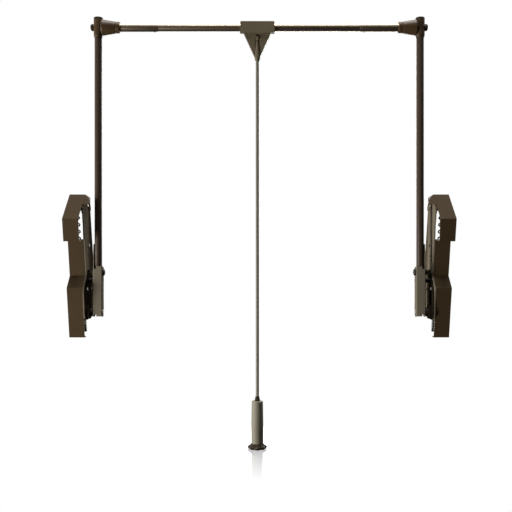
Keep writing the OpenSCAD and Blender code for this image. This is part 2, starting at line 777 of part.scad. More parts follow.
module elbow_knob() {
    color(soft_black) union() {
        translate([knob_x1 - knob_l, 0, rail_z]) rotate([0, 90, 0])
            cylinder(r1 = knob_d / 2 - knob_bevel, r2 = knob_d / 2, h = knob_bevel);
        bar_x(knob_d / 2, knob_x1 - knob_l + knob_bevel, knob_x1, 0, rail_z);
        bar_x(knob_screw_d / 2, knob_x1 - eps, knob_screw_x1, 0, rail_z);
    }
}

module rail_sleeve() {
    color(tube_brown) difference() {
        bar_x(sleeve_r, sleeve_x0, sleeve_x1, 0, rail_z);
        bar_x(sleeve_in_r, sleeve_x0 - eps, sleeve_x1 + eps, 0, rail_z);
        bar_z(sleeve_screw_r + seat_gap, rail_z - sleeve_r - 1, rail_z - sleeve_r / 2,
            sleeve_x1 - sleeve_screw_inset);
    }
}

module sleeve_screw() {
    color(soft_black) bar_z(sleeve_screw_r, rail_z - sleeve_r - sleeve_screw_proud,
        rail_z - rail_tube_d / 2 - run_gap, sleeve_x1 - sleeve_screw_inset);
}

// Pieces in the middle

module rail_tube() {
    end_x = sleeve_x1 - rail_overlap;
    color(tube_brown) difference() {
        bar_x(rail_tube_d / 2, end_x, wall_gap - end_x, 0, rail_z);
        bar_x(rail_tube_d / 2 - tube_wall, end_x - eps, wall_gap - end_x + eps, 0, rail_z);
    }
}

module bracket_screw_places() {
    for (x = [-1, 1])
        translate([saddle_x + x * bracket_screw_x, lug_y1, bracket_screw_z]) children();
}

module bracket_yoke() {
    color(moulded_black) difference() {
        union() {
            translate([saddle_x - saddle_w / 2, saddle_y0, saddle_z0]) cube([saddle_w, -saddle_y0, saddle_h]);
            translate([saddle_x - saddle_w / 2 - saddle_lip, saddle_y0 + lip_step, saddle_z0])
                cube([saddle_w + 2 * saddle_lip, -saddle_y0 - 2 * lip_step, saddle_h / 2]);
            translate([saddle_x, lug_y1, 0]) rotate([90, 0, 0]) linear_extrude(height = lug_y1 - lug_y0)
                polygon([[-lug_half_w, saddle_z0], [-lug_low_w, lug_low_z], [lug_low_w, lug_low_z],
                    [lug_half_w, saddle_z0]]);
            translate([saddle_x - lug_half_w, lug_y0, saddle_z0 - eps])
                cube([2 * lug_half_w, -lug_y0, 2 * eps]);
        }
        translate([saddle_x - slot_w / 2, saddle_y0 - eps, lug_low_z - eps])
            cube([slot_w, slot_rear_y - saddle_y0 + eps, slot_top_z - lug_low_z + eps]);
        bar_x(rail_tube_d / 2 + run_gap, saddle_x - saddle_w, saddle_x + saddle_w, 0, rail_z);
        bar_x(rod_pin_d / 2 + seat_gap, saddle_x - saddle_w, saddle_x + saddle_w, rod_y, pin_z);
        bracket_screw_places() rotate([90, 0, 0]) translate([0, 0, -eps])
            cylinder(r = bracket_screw_d / 2 + seat_gap, h = bracket_bore_l);
    }
}

module bracket_clamp() {
    color(moulded_black) difference() {
        union() {
            translate([0, 0, rail_z]) sheet(saddle_x - saddle_w / 2, saddle_w) polygon(clamp_section);
            translate([saddle_x - tongue_half_w, lug_y1, tongue_low_z])
                cube([2 * tongue_half_w, tongue_t, rail_z - tongue_low_z]);
        }
        bar_x(rail_tube_d / 2 + run_gap, saddle_x - saddle_w, saddle_x + saddle_w, 0, rail_z);
        bracket_screw_places() translate([0, -eps, 0]) rotate([-90, 0, 0])
            cylinder(r = bracket_screw_d / 2 + side_gap / 2, h = tongue_t + 2 * eps);
    }
}

module bracket_screws() {
    color(bright_steel) bracket_screw_places() {
        translate([0, -bracket_screw_l, 0]) rotate([-90, 0, 0])
            cylinder(r = bracket_screw_d / 2, h = bracket_screw_l + tongue_t + eps);
        translate([0, tongue_t, 0]) rotate([-90, 0, 0])
            cylinder(r = bracket_head_r, h = bracket_head_h);
    }
}

module rod_pin() {
    half = lug_low_w + (lug_half_w - lug_low_w) * (pin_z - lug_low_z) / (saddle_z0 - lug_low_z);
    color(bright_steel) bar_x(rod_pin_d / 2, saddle_x - half + pin_inset,
        saddle_x + half - pin_inset, rod_y, pin_z);
}

module rod_socket() {
    color(moulded_black) difference() {
        union() {
            bar_x(eye_r, saddle_x - eye_half_w, saddle_x + eye_half_w, rod_y, pin_z);
            translate([saddle_x, rod_y, 0]) rotate_extrude() polygon([[0, socket_low_z],
                [socket_foot_r, socket_low_z], [collar_r, collar_top_z - collar_h],
                [collar_r, collar_top_z], [socket_r, lug_low_z], [eye_half_w, pin_z], [0, pin_z]]);
        }
        bar_x(rod_pin_d / 2 + run_gap, saddle_x - saddle_w, saddle_x + saddle_w, rod_y, pin_z);
        bar_z(rod_d / 2 + seat_gap, socket_low_z - eps, rod_top_z, saddle_x, rod_y);
    }
}

module pull_rod() {
    color(tube_brown) bar_z(rod_d / 2, rod_low_z, rod_top_z, saddle_x, rod_y);
}

module grip_ferrule() {
    color(soft_black) difference() {
        translate([saddle_x, rod_y, grip_top_z])
            cylinder(r1 = grip_d1 / 4, r2 = rod_d / 2 + ferrule_wall, h = ferrule_h);
        bar_z(rod_d / 2 + seat_gap, grip_top_z - eps, grip_top_z + ferrule_h + eps, saddle_x, rod_y);
    }
}

module grip() {
    color(grip_grey) difference() {
        translate([saddle_x, rod_y, 0]) rotate_extrude() polygon([[0, grip_low_z - foot_spigot_h],
            [grip_d2 / 2 - foot_spigot_inset, grip_low_z - foot_spigot_h],
            [grip_d2 / 2 - foot_spigot_inset, grip_low_z], [grip_d2 / 2, grip_low_z],
            [grip_d1 / 2, grip_top_z - edge_bevel], [grip_d1 / 2 - edge_bevel, grip_top_z],
            [0, grip_top_z]]);
        bar_z(rod_d / 2 + seat_gap, rod_low_z, grip_top_z + eps, saddle_x, rod_y);
    }
}

module grip_foot() {
    neck_r = grip_d2 / 2 + 0.5;
    bore_r = grip_d2 / 2 - foot_spigot_inset + seat_gap;
    low = grip_low_z - foot_h;
    rim_z = low + foot_rim_h;
    color(soft_black) translate([saddle_x, rod_y, 0]) rotate_extrude() polygon([
        [bore_r, grip_low_z], [neck_r, grip_low_z], [neck_r + edge_bevel, grip_low_z - foot_neck_h],
        [foot_d / 2, rim_z + foot_rim_t], [foot_d / 2, rim_z], [foot_d / 2 - foot_rim_t, low],
        [bore_r + foot_sole_w, low], [bore_r + foot_bore_w, grip_low_z - foot_spigot_h - spigot_gap],
        [bore_r, grip_low_z - foot_spigot_h - spigot_gap]]);
}

for (side = SIDES) on_side(side) {
    wall_plate();
    housing();
    cheek();
    carrier();
    standoffs();
    cheek_screws();
    outer_bush();
    inner_bush();
    rack_guide();
    upper_seat();
    guide_rod();
    spring();
    stop_buffer();
    rack();
    pivot_shaft();
    sector_gear();
    spacer_ring();
    lever();
    clamp_bolt();
    arm_tube();
    elbow();
    elbow_cap();
    elbow_knob();
    rail_sleeve();
    sleeve_screw();
}
rail_tube();
bracket_yoke();
bracket_clamp();
bracket_screws();
rod_pin();
rod_socket();
pull_rod();
grip_ferrule();
grip();
grip_foot();
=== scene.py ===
# %% [markdown]
# A pull-down clothes rail for a wardrobe. Two spring units sit on the side walls and carry a frame of two
# arms and a telescopic hanging rail, and a pull rod with a grip hangs from the middle of the rail. The
# engineering model is loaded first and stays as it is. This notebook gives it its looks: moulded, pressed
# and turned pieces, and a finish for each material.

# %% Load the engineering model
import json
import math

import bpy
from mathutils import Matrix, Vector


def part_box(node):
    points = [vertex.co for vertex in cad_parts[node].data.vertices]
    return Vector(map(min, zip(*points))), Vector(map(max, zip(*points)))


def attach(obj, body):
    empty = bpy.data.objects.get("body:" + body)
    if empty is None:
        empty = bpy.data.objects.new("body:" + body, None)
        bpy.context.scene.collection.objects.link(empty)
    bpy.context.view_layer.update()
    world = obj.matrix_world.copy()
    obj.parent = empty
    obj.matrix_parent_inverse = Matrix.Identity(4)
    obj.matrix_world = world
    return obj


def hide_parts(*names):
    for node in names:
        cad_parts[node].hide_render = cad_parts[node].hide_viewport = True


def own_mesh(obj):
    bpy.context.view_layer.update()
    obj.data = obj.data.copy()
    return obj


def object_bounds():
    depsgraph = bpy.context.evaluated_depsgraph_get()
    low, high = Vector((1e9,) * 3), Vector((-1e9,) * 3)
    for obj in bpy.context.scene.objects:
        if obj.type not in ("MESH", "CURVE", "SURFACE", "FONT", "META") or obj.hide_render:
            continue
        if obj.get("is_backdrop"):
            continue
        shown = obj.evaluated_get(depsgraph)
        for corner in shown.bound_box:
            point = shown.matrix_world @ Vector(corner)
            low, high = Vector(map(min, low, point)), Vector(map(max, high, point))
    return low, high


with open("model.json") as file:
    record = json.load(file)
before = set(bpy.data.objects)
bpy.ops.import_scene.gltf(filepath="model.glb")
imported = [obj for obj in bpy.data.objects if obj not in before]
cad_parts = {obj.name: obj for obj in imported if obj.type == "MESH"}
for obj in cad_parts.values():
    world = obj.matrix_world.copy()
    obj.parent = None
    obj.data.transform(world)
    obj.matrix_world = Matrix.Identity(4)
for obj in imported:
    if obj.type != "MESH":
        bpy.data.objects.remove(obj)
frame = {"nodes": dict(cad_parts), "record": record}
cad_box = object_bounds()
record = frame["record"]
print("engineering nodes:", len(frame["nodes"]))

# %% [markdown]
# The drawing's sizes are in millimetres and Blender works in metres, so one factor turns the first into the
# second. The record says which body carries each node and which finish it has. A new piece asks it by name,
# so it always moves and looks like the node that it stands for.

# %% Sizes, bodies and finishes from the record
MM = 0.001
WALL_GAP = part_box("right_wall_plate")[1].x / MM
BODY_OF = {node: body for body, nodes in record["behaviour"]["bodies"].items() for node in nodes}
SLOT_OF = {row["node"]: row["material_slot"] for row in record["subparts"]}
print("between the walls:", round(WALL_GAP), "mm")

# %% [markdown]
# The camera stands a little left of the middle, level with the lower third of the arms, and looks straight
# at the wardrobe's back. It comes first, because every later choice is judged through it.

# %% Camera
CAMERA_AT = (0.4994, -1.9055, 0.150)

bpy.ops.object.camera_add(location=CAMERA_AT, rotation=(math.radians(90), 0, 0))
camera = bpy.context.active_object
camera.name = "camera"
camera.data.lens = 50
camera.data.sensor_width = 36
bpy.context.scene.camera = camera

# %% [markdown]
# A finish is a small network of nodes. One function adds any node, with its settings, its values and what
# feeds it, so each finish below reads as a list of steps. Colours are written as the hex values of a paint
# chart, and turned to the linear values that the shader expects.


# %% Helpers for finishes
def linear(hex_colour):
    """A hex colour as the linear red, green, blue and alpha that a shader takes."""
    channels = [int(hex_colour[i:i + 2], 16) / 255 for i in (1, 3, 5)]
    return [c / 12.92 if c <= 0.04045 else ((c + 0.055) / 1.055) ** 2.4 for c in channels] + [1.0]


def add(tree, kind, inputs=None, **settings):
    """Adds a node. inputs gives a socket by name or number a value, or the output that feeds it."""
    node = tree.nodes.new(kind)
    for key, value in settings.items():
        setattr(node, key, value)
    for key, value in (inputs or {}).items():
        if isinstance(value, bpy.types.NodeSocket):
            tree.links.new(value, node.inputs[key])
        else:
            node.inputs[key].default_value = value
    return node


def blank_material(name):
    """A material with an empty network and its output node."""
    material = bpy.data.materials.new(name)
    material.use_nodes = True
    material.node_tree.nodes.clear()
    return material, material.node_tree


# %% [markdown]
# Most surfaces here are one of two kinds. A skin, such as moulded plastic or powder coat, has a fine grain,
# a slow drift of tone and edges painted a little brighter, partly as wear and partly as a painted highlight
# where a rounded edge would catch the light. A metal is drawn or turned, so fine lines run along it. The
# grain's size is a real one in millimetres, and where the real one is too fine to show, it is drawn coarser.


# %% Two ways to make a surface
# The drift of tone in a skin, the clouds on a metal, the width of an edge's wear and painted highlight,
# and the depth of a drawn line
DRIFT_MM = 45
CLOUD_MM = 20
EDGE_WEAR_AND_HIGHLIGHT_MM = 0.8
LINE_DEPTH_MM = 0.02
# How much an edge shows of its wear and painted highlight colour, and how far the roughness strays
EDGE_WEAR_AND_HIGHLIGHT_SHARE = 0.35
SKIN_SPREAD = 0.05
METAL_SPREAD = 0.08


def edge_mask(tree, radius_mm):
    """White on edges and black on flats: how far the rounded normal leaves the true one."""
    bevel = add(tree, "ShaderNodeBevel", {"Radius": radius_mm * MM}, samples=4)
    geometry = add(tree, "ShaderNodeNewGeometry")
    dot = add(tree, "ShaderNodeVectorMath", {0: bevel.outputs["Normal"], 1: geometry.outputs["Normal"]},
              operation="DOT_PRODUCT")
    return add(tree, "ShaderNodeMapRange", {"Value": dot.outputs["Value"], "From Min": 0.99, "From Max": 0.8,
                                            "To Min": 0.0, "To Max": 1.0}).outputs["Result"]


def skin(name, dark, light, wear_and_highlight_colour, roughness, grain_mm, grain_depth_mm, gloss=0.5):
    """Moulded plastic, rubber or powder coat. gloss is how strongly it mirrors, 0.5 as most plastics do."""
    material, tree = blank_material(name)
    place = add(tree, "ShaderNodeTexCoord").outputs["Object"]
    drift = add(tree, "ShaderNodeTexNoise", {"Vector": place, "Scale": 1 / (DRIFT_MM * MM), "Detail": 3.0})
    tone = add(tree, "ShaderNodeMix", {"Factor": drift.outputs["Fac"], "A": linear(dark), "B": linear(light)},
               data_type="RGBA")
    # The edges are painted lighter: partly wear, and partly a painted highlight where a rounded edge catches
    # light
    edge_wear_and_highlight = add(tree, "ShaderNodeMath", {0: edge_mask(tree, EDGE_WEAR_AND_HIGHLIGHT_MM), 1: EDGE_WEAR_AND_HIGHLIGHT_SHARE}, operation="MULTIPLY")
    colour = add(tree, "ShaderNodeMix", {"Factor": edge_wear_and_highlight.outputs["Value"], "A": tone.outputs["Result"],
                                         "B": linear(wear_and_highlight_colour)}, data_type="RGBA")
    grain = add(tree, "ShaderNodeTexNoise", {"Vector": place, "Scale": 1 / (grain_mm * MM), "Detail": 2.0})
    rough = add(tree, "ShaderNodeMapRange", {"Value": drift.outputs["Fac"], "To Min": roughness - SKIN_SPREAD,
                                             "To Max": roughness + SKIN_SPREAD})
    bump = add(tree, "ShaderNodeBump", {"Height": grain.outputs["Fac"], "Strength": 0.6,
                                        "Distance": grain_depth_mm * MM})
    shader = add(tree, "ShaderNodeBsdfPrincipled", {
        "Base Color": colour.outputs["Result"], "Roughness": rough.outputs["Result"],
        "Normal": bump.outputs["Normal"], "IOR": 1.5, "Specular IOR Level": gloss})
    add(tree, "ShaderNodeOutputMaterial", {"Surface": shader.outputs["BSDF"]})
    return material


def drawn_metal(name, dark, light, roughness, line_mm, stretch):
    """Bare metal whose fine lines run along the direction in which stretch is small."""
    material, tree = blank_material(name)
    place = add(tree, "ShaderNodeTexCoord").outputs["Object"]
    run = add(tree, "ShaderNodeMapping", {"Vector": place, "Scale": stretch})
    lines = add(tree, "ShaderNodeTexNoise", {"Vector": run.outputs["Vector"], "Scale": 1 / (line_mm * MM),
                                             "Detail": 4.0})
    cloud = add(tree, "ShaderNodeTexNoise", {"Vector": place, "Scale": 1 / (CLOUD_MM * MM), "Detail": 2.0})
    tone = add(tree, "ShaderNodeMix", {"Factor": cloud.outputs["Fac"], "A": linear(dark), "B": linear(light)},
               data_type="RGBA")
    rough = add(tree, "ShaderNodeMapRange", {"Value": lines.outputs["Fac"],
                                             "To Min": roughness - METAL_SPREAD,
                                             "To Max": roughness + METAL_SPREAD})
    bump = add(tree, "ShaderNodeBump", {"Height": lines.outputs["Fac"], "Strength": 0.3,
                                        "Distance": LINE_DEPTH_MM * MM})
    shader = add(tree, "ShaderNodeBsdfPrincipled", {
        "Base Color": tone.outputs["Result"], "Metallic": 1.0, "Roughness": rough.outputs["Result"],
        "Normal": bump.outputs["Normal"]})
    add(tree, "ShaderNodeOutputMaterial", {"Surface": shader.outputs["BSDF"]})
    return material


# %% [markdown]
# The finishes, by the record's names. The covers are polypropylene moulded in a spark-eroded tool, so
# they have a fine dull grain and hardly mirror. The elbows and the bracket are glass-filled nylon,
# smoother and satin, and so are the small dark mouldings, which are a very dark brown. The steel plates,
# the cheek and the lever have a matt taupe coat with the slight pebble of a sprayed and baked skin. The
# arms have a smooth dark lacquer, and the rod is satin steel. The rail and its sleeves are drawn metal
# under a champagne lacquer, which shows the bright room as one long streak. A gloss of 0 keeps the room's
# white off a surface that is seen at a grazing angle.

# %% The finishes
# A skin's third colour is for its edges: partly wear, and partly a painted highlight
FINISHES = {
    "moulded_cover": skin("polypropylene_cover", "#4b3b25", "#574630", "#6e5d44", 0.6, 1.2, 0.10, gloss=0.1),
    "moulded_inner": skin("polypropylene_inner", "#1d1915", "#25201a", "#393228", 0.6, 1.2, 0.08, gloss=0.15),
    "moulded_elbow": skin("nylon_elbow", "#4a3822", "#57432b", "#6d5840", 0.42, 0.9, 0.05, gloss=0.3),
    "moulded_bracket": skin("nylon_bracket", "#6f644e", "#7c7059", "#8f8269", 0.45, 0.9, 0.05, gloss=0.3),
    "moulded_dark": skin("nylon_black", "#33291b", "#3f3424", "#3a2e20", 0.45, 0.9, 0.05, gloss=0.15),
    "grip_cover": skin("soft_grip", "#8d8673", "#9a9380", "#aaa48f", 0.55, 0.8, 0.07, gloss=0.25),
    "cast_black": skin("cast_black_coat", "#241d15", "#2d251b", "#40372a", 0.6, 1.0, 0.08, gloss=0.0),
    "steel_black": skin("powder_coat_taupe", "#625a4a", "#6e6554", "#817866", 0.55, 0.8, 0.05, gloss=0.0),
    "lever_coat": skin("matt_taupe_coat", "#7e7463", "#8a806e", "#9c9282", 0.55, 0.8, 0.05, gloss=0.0),
    "tube_coat": skin("dark_lacquered_steel", "#4a3c31", "#55463a", "#6a594a", 0.36, 2.5, 0.02, gloss=0.2),
    "rail_coat": drawn_metal("champagne_lacquered_steel", "#b9a68c", "#c6b39a", 0.36, 0.6, (0.05, 1.0, 1.0)),
    "rod_coat": skin("satin_steel_rod", "#85816f", "#918d7b", "#a29e8c", 0.36, 2.5, 0.02, gloss=0.3),
    "bolt_black": skin("black_oxide", "#28231c", "#332d25", "#4a4339", 0.38, 1.0, 0.03, gloss=0.3),
    "bright_steel": drawn_metal("zinc_plated_steel", "#8f8c84", "#a5a199", 0.34, 0.5, (0.1, 1.0, 1.0)),
    "spring_steel": drawn_metal("oiled_spring_wire", "#4a463e", "#5b564c", 0.38, 0.8, (1.0, 1.0, 0.3)),
    "bush_bronze": drawn_metal("sintered_bronze", "#8d6c38", "#a2804a", 0.45, 0.6, (0.2, 1.0, 1.0)),
    "rubber": skin("rubber_stop", "#121212", "#1a1a19", "#2a2a28", 0.75, 0.8, 0.08),
}

for node_name, node_object in frame["nodes"].items():
    node_object.data.materials.clear()
    node_object.data.materials.append(FINISHES[SLOT_OF[node_name]])

# %% [markdown]
# Modelling by hand in Blender comes down to a few moves: put a primitive in place, go into edit mode,
# select, extrude or spin, and come back. The helpers below name those moves. Operators act on whatever is
# selected, so each starts by clearing the selection.


# %% Helpers for selecting and editing
# Points nearer than this are one point
MERGE_MM = 0.002


def activate(piece):
    """Makes the piece the only one that is selected."""
    bpy.ops.object.select_all(action="DESELECT")
    piece.select_set(True)
    bpy.context.view_layer.objects.active = piece


def edit(piece, mode="VERT"):
    """Goes into edit mode on the piece, with all of it selected."""
    activate(piece)
    bpy.ops.object.mode_set(mode="EDIT")
    bpy.ops.mesh.select_mode(type=mode)
    bpy.ops.mesh.select_all(action="SELECT")


def leave():
    """Back to object mode."""
    bpy.ops.object.mode_set(mode="OBJECT")


def outward(piece):
    """Merges doubled points and turns all faces outwards."""
    edit(piece)
    bpy.ops.mesh.remove_doubles(threshold=MERGE_MM * MM)
    bpy.ops.mesh.select_all(action="SELECT")
    bpy.ops.mesh.normals_make_consistent(inside=False)
    leave()


def apply(piece, kind, **settings):
    """Adds a modifier with its settings and applies it."""
    activate(piece)
    modifier = piece.modifiers.new(kind.lower(), kind)
    for key, value in settings.items():
        setattr(modifier, key, value)
    bpy.ops.object.modifier_apply(modifier=modifier.name)


# %% [markdown]
# Two shapes make nearly everything here. A slab is a flat outline pulled to a thickness, as a plate or a
# moulded box is. A turned piece is a profile spun round an axis, as a tube, a knob or a grip is. A ring of
# points starts both. Corners of an outline can be rounded first, because no real edge is sharp.


# %% Helpers for slabs and turned pieces
TURN_STEPS = 72
# An arc at a corner takes at most this share of the lines beside it
CORNER_SHARE = 0.45


def rounded(points, radius, steps=4, closed=True):
    """The outline with an arc of about that radius in place of each corner."""
    result = []
    for i, point in enumerate(points):
        here = Vector(point)
        if not closed and i in (0, len(points) - 1):
            result.append(tuple(here))
            continue
        back = Vector(points[i - 1]) - here
        ahead = Vector(points[(i + 1) % len(points)]) - here
        reach = min(radius / math.tan(back.angle(ahead) / 2), CORNER_SHARE * back.length,
                    CORNER_SHARE * ahead.length)
        start = here + back.normalized() * reach
        end = here + ahead.normalized() * reach
        for step in range(steps + 1):
            t = step / steps
            result.append(tuple((1 - t) ** 2 * start + 2 * t * (1 - t) * here + t ** 2 * end))
    return result


def ring(name, points, fill):
    """A ring with one corner for each point, given in millimetres."""
    bpy.ops.object.select_all(action="DESELECT")
    bpy.ops.mesh.primitive_circle_add(vertices=len(points), fill_type=fill, location=(0, 0, 0))
    piece = bpy.context.active_object
    piece.name = name
    for vertex, point in zip(piece.data.vertices, points):
        vertex.co = Vector(point) * MM
    return piece


def slab(name, outline, low, high, along="X"):
    """An outline pulled from low to high along X, Y or Z. It is given in the other two axes, in order."""
    index = "XYZ".index(along)
    points = [(*p[:index], low, *p[index:]) for p in outline]
    move = [0.0, 0.0, 0.0]
    move[index] = (high - low) * MM
    piece = ring(name, points, "NGON")
    edit(piece)
    bpy.ops.mesh.extrude_region_move(TRANSFORM_OT_translate={"value": move})
    leave()
    outward(piece)
    return piece


def turned(name, profile, centre, along="Z", closed=True, steps=TURN_STEPS):
    """A profile of (radius, place along the axis) spun round an axis through centre. An open profile starts
    and ends on the axis."""
    x, y, z = centre
    if along == "Z":
        points = [(x + radius, y, place) for radius, place in profile]
        axis = (0, 0, 1)
    else:
        points = [(place, y, z + radius) for radius, place in profile]
        axis = (1, 0, 0)
    piece = ring(name, points, "NOTHING")
    if not closed:
        last = len(points) - 1
        edit(piece, "EDGE")
        bpy.ops.mesh.select_all(action="DESELECT")
        leave()
        for line in piece.data.edges:
            line.select = set(line.vertices) == {0, last}
        bpy.ops.object.mode_set(mode="EDIT")
        bpy.ops.mesh.delete(type="EDGE")
        leave()
    edit(piece)
    bpy.ops.mesh.spin(steps=steps, angle=2 * math.pi, center=Vector(centre) * MM, axis=axis)
    leave()
    outward(piece)
    return piece


def turned_solid(name, profile, corner, centre, along="Z"):
    """A solid turned from a profile that starts and ends on the axis, with its corners rounded."""
    return turned(name, rounded(profile, corner, closed=False), centre, along, closed=False)


# %% [markdown]
# Holes are drilled by cutting one solid from another. A cutter is a plain cylinder or box that is thrown
# away after the cut. It reaches a little past what it cuts, so that its ends don't lie in the piece's own
# faces. Joining two solids into one moulding is the same move with another setting.


# %% Helpers for cutting and joining
def drill(radius, start, end, sides=48):
    """A round cutter between two points that differ along one axis."""
    line = Vector(end) - Vector(start)
    middle = (Vector(start) + Vector(end)) / 2 * MM
    bpy.ops.object.select_all(action="DESELECT")
    bpy.ops.mesh.primitive_cylinder_add(vertices=sides, radius=radius * MM, depth=line.length * MM,
                                        location=middle, rotation=line.to_track_quat("Z", "Y").to_euler())
    bpy.ops.object.transform_apply(location=True, rotation=True, scale=True)
    return bpy.context.active_object


def block(low, high):
    """A box cutter between two corners."""
    middle = (Vector(low) + Vector(high)) / 2 * MM
    bpy.ops.object.select_all(action="DESELECT")
    bpy.ops.mesh.primitive_cube_add(size=1, location=middle, scale=(Vector(high) - Vector(low)) * MM)
    bpy.ops.object.transform_apply(location=True, rotation=True, scale=True)
    return bpy.context.active_object


def combine(piece, others, operation="DIFFERENCE"):
    """Cuts, joins or keeps what is common, and throws the others away."""
    for other in others:
        apply(piece, "BOOLEAN", operation=operation, object=other, solver="EXACT")
        bpy.data.objects.remove(other)
    outward(piece)


# %% [markdown]
# A moulded or pressed edge is never sharp: it catches a thin line of light, and that line is what makes a
# surface look real. Softening bevels every edge past a given angle, smooths the shading and then weights it
# towards the large faces, so that these stay flat. The bevel stops where it would run into its neighbour,
# so one very short edge holds it back on the whole piece. The cuts leave such edges on the housing, the
# cheek, the lever and the bracket, whose bevels come out no wider than a few hundredths of a millimetre.


# %% Helpers for finishing a piece
# A softened piece shades smoothly across edges up to this angle, and how much its large faces count
SOFT_DEGREES = 40
FACE_WEIGHT = 60


def smooth(piece, degrees=32):
    """Smooth shading, apart from true edges."""
    activate(piece)
    bpy.ops.object.shade_smooth_by_angle(angle=math.radians(degrees))


def soften(piece, width, segments=3, degrees=35):
    """Rounds every edge past the angle by up to width millimetres, less where short edges are in the way."""
    apply(piece, "BEVEL", width=width * MM, segments=segments, limit_method="ANGLE",
          angle_limit=math.radians(degrees), use_clamp_overlap=True)
    smooth(piece, SOFT_DEGREES)
    apply(piece, "WEIGHTED_NORMAL", keep_sharp=True, weight=FACE_WEIGHT)


def other_side(piece):
    """The mirror image of a left-hand piece, with its own mesh."""
    activate(piece)
    bpy.ops.object.duplicate()
    twin = bpy.context.active_object
    twin.name = piece.name.replace("left_", "right_")
    edit(twin)
    bpy.ops.transform.resize(value=(-1, 1, 1), center_override=(WALL_GAP / 2 * MM, 0, 0))
    leave()
    outward(twin)
    return twin


def dress(piece, node):
    """The piece stands for the node: it hides it, rides on its body and has its finish."""
    piece.name = node + "_shaped"
    piece.data.materials.clear()
    piece.data.materials.append(FINISHES[SLOT_OF[node]])
    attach(piece, BODY_OF[node])
    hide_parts(node)


def both_sides(left, node, finish):
    """Finishes and dresses a left-hand piece and its mirror image."""
    for piece, side in ((left, "left_"), (other_side(left), "right_")):
        finish(piece)
        dress(piece, side + node)


# %% [markdown]
# The housing is the large moulding on the wall: a roof that slopes forward to a blunt nose, an undercut
# that ends in a deep recess, and a block at the foot. At its inner end the roof runs on as a curved hood,
# which covers the top of the steel cheek. The side outline is pulled to the hood's full width, and all that
# lies beyond the body is trimmed back to the hood's curve. The hollow is made in the same way, one wall
# smaller, and is cut out. Joining a body and a hood whose faces lie in one plane would leave slivers, and
# trimming doesn't.

# %% Housing
HOUSING_IN = 41.0
HOUSING_WALL = 2.5
PLATE_T = 2.0
PLATE_POCKET = 2.7
RIDGE_Z = 315.0
REAR_Y = 70.0
FLOOR_Z = -68.0
ROOF_REAR_Z = 300.0
ROOF_CORNER_R = 24.0
ROOF_CORNER_TURN = 75.0
ROOF_CORNER_STEPS = 10
# Corners of the front edge from the top down: place from front to back, and height
NOSE_Y = -76.0
NOSE_TOP = (NOSE_Y, 246)
NOSE_LOW = (NOSE_Y + 13, 188)
UNDERCUT = (-20, 192)
RECESS = (1, 97)
BLOCK_NOSE = (-31, 65)
TOE = (-3, FLOOR_Z)
# The hood in front view: place inwards from the wall, and height
HOOD_IN = 60.0
HOOD_LIP_IN = 56.0
HOOD_UNDER_Z = 286.0
HOOD_CURVE = [(59, 289), (HOOD_IN, 293), (58, 298), (53.5, 304), (47.5, 310.5), (HOUSING_IN, RIDGE_Z)]
HOOD_CORNER_R = 5.0
HOOD_REAR_Y = 40.0
# What comes off the hood's inner rear corner, seen from above
HOOD_SLANT = [(60.3, -20), (HOOD_IN + 10, -20), (HOOD_IN + 10, 42), (45.8, 42)]
HOOD_SLANT_LOW = 280.0
# The hollow under the hood. Its outer end may lie anywhere in the body
HOLLOW_OUT = -14.5
HOLLOW_LIP_IN = 42.0
HOLLOW_UNDER_Z = 267.0
HOLLOW_CORNER_R = 4.0
HOLLOW_LOW_Z = 270.5
HOLLOW_TOP_Z = 312.0
# Openings at the rear and the spring's foot, and holes in the side beside the wall plate
REAR_OPENING_X = 6.0
FOOT_OPENING = (20.0, 12.0)
HOLE_SPAN = (1.0, 5.0)
DRIVER_R = 5.5
STANDOFF_HOLE_R = 4.3
BUSH_HOLE_R = 9.52
WALL_SCREWS = [(26, 150), (26, 278), (58, 150), (58, 278), (18, -44)]
STANDOFFS = [(12, 288), (30, 178), (47, 60), (-6, 62)]
FAR = 30.0


def inset(outline, depth):
    """An outline that runs anticlockwise, moved inwards by depth."""
    result = []
    for i, point in enumerate(outline):
        here = Vector(point)
        before = (here - Vector(outline[i - 1])).normalized()
        after = (Vector(outline[(i + 1) % len(outline)]) - here).normalized()
        inwards = Vector((-before.y - after.y, before.x + after.x))
        result.append(tuple(here + inwards * depth / (1 + before.dot(after))))
    return result


def beside_the_hood(name, edge, rear):
    """Cutters for all that lies inwards of a slab's body, but for the hood above its open edge curve."""
    body = edge[0][0]
    rest = [(body, RIDGE_Z + FAR), (HOOD_IN + FAR, RIDGE_Z + FAR), (HOOD_IN + FAR, FLOOR_Z - FAR),
            (body, FLOOR_Z - FAR)]
    return [slab(name, edge + rest, NOSE_Y - FAR, REAR_Y + FAR, along="Y"),
            block((body, rear, FLOOR_Z - FAR), (HOOD_IN + FAR, REAR_Y + FAR, RIDGE_Z + FAR))]


housing_outline = [(0, RIDGE_Z), NOSE_TOP, NOSE_LOW, UNDERCUT, RECESS, BLOCK_NOSE, TOE, (REAR_Y, FLOOR_Z)]
for step in range(ROOF_CORNER_STEPS + 1):
    turn = math.radians(ROOF_CORNER_TURN * step / ROOF_CORNER_STEPS)
    housing_outline.append((REAR_Y - ROOF_CORNER_R * (1 - math.cos(turn)),
                            ROOF_REAR_Z - ROOF_CORNER_R * (1 - math.sin(turn))))

hood_points = [(HOUSING_IN, HOOD_UNDER_Z), (HOOD_LIP_IN, HOOD_UNDER_Z), *HOOD_CURVE[:-1],
               (HOUSING_IN, RIDGE_Z + 0.4)]
hood_edge = rounded(hood_points, HOOD_CORNER_R, steps=3, closed=False)
housing = slab("left_housing_work", housing_outline, 0, HOOD_IN + 1)
combine(housing, beside_the_hood("hood_trim", hood_edge, HOOD_REAR_Y))

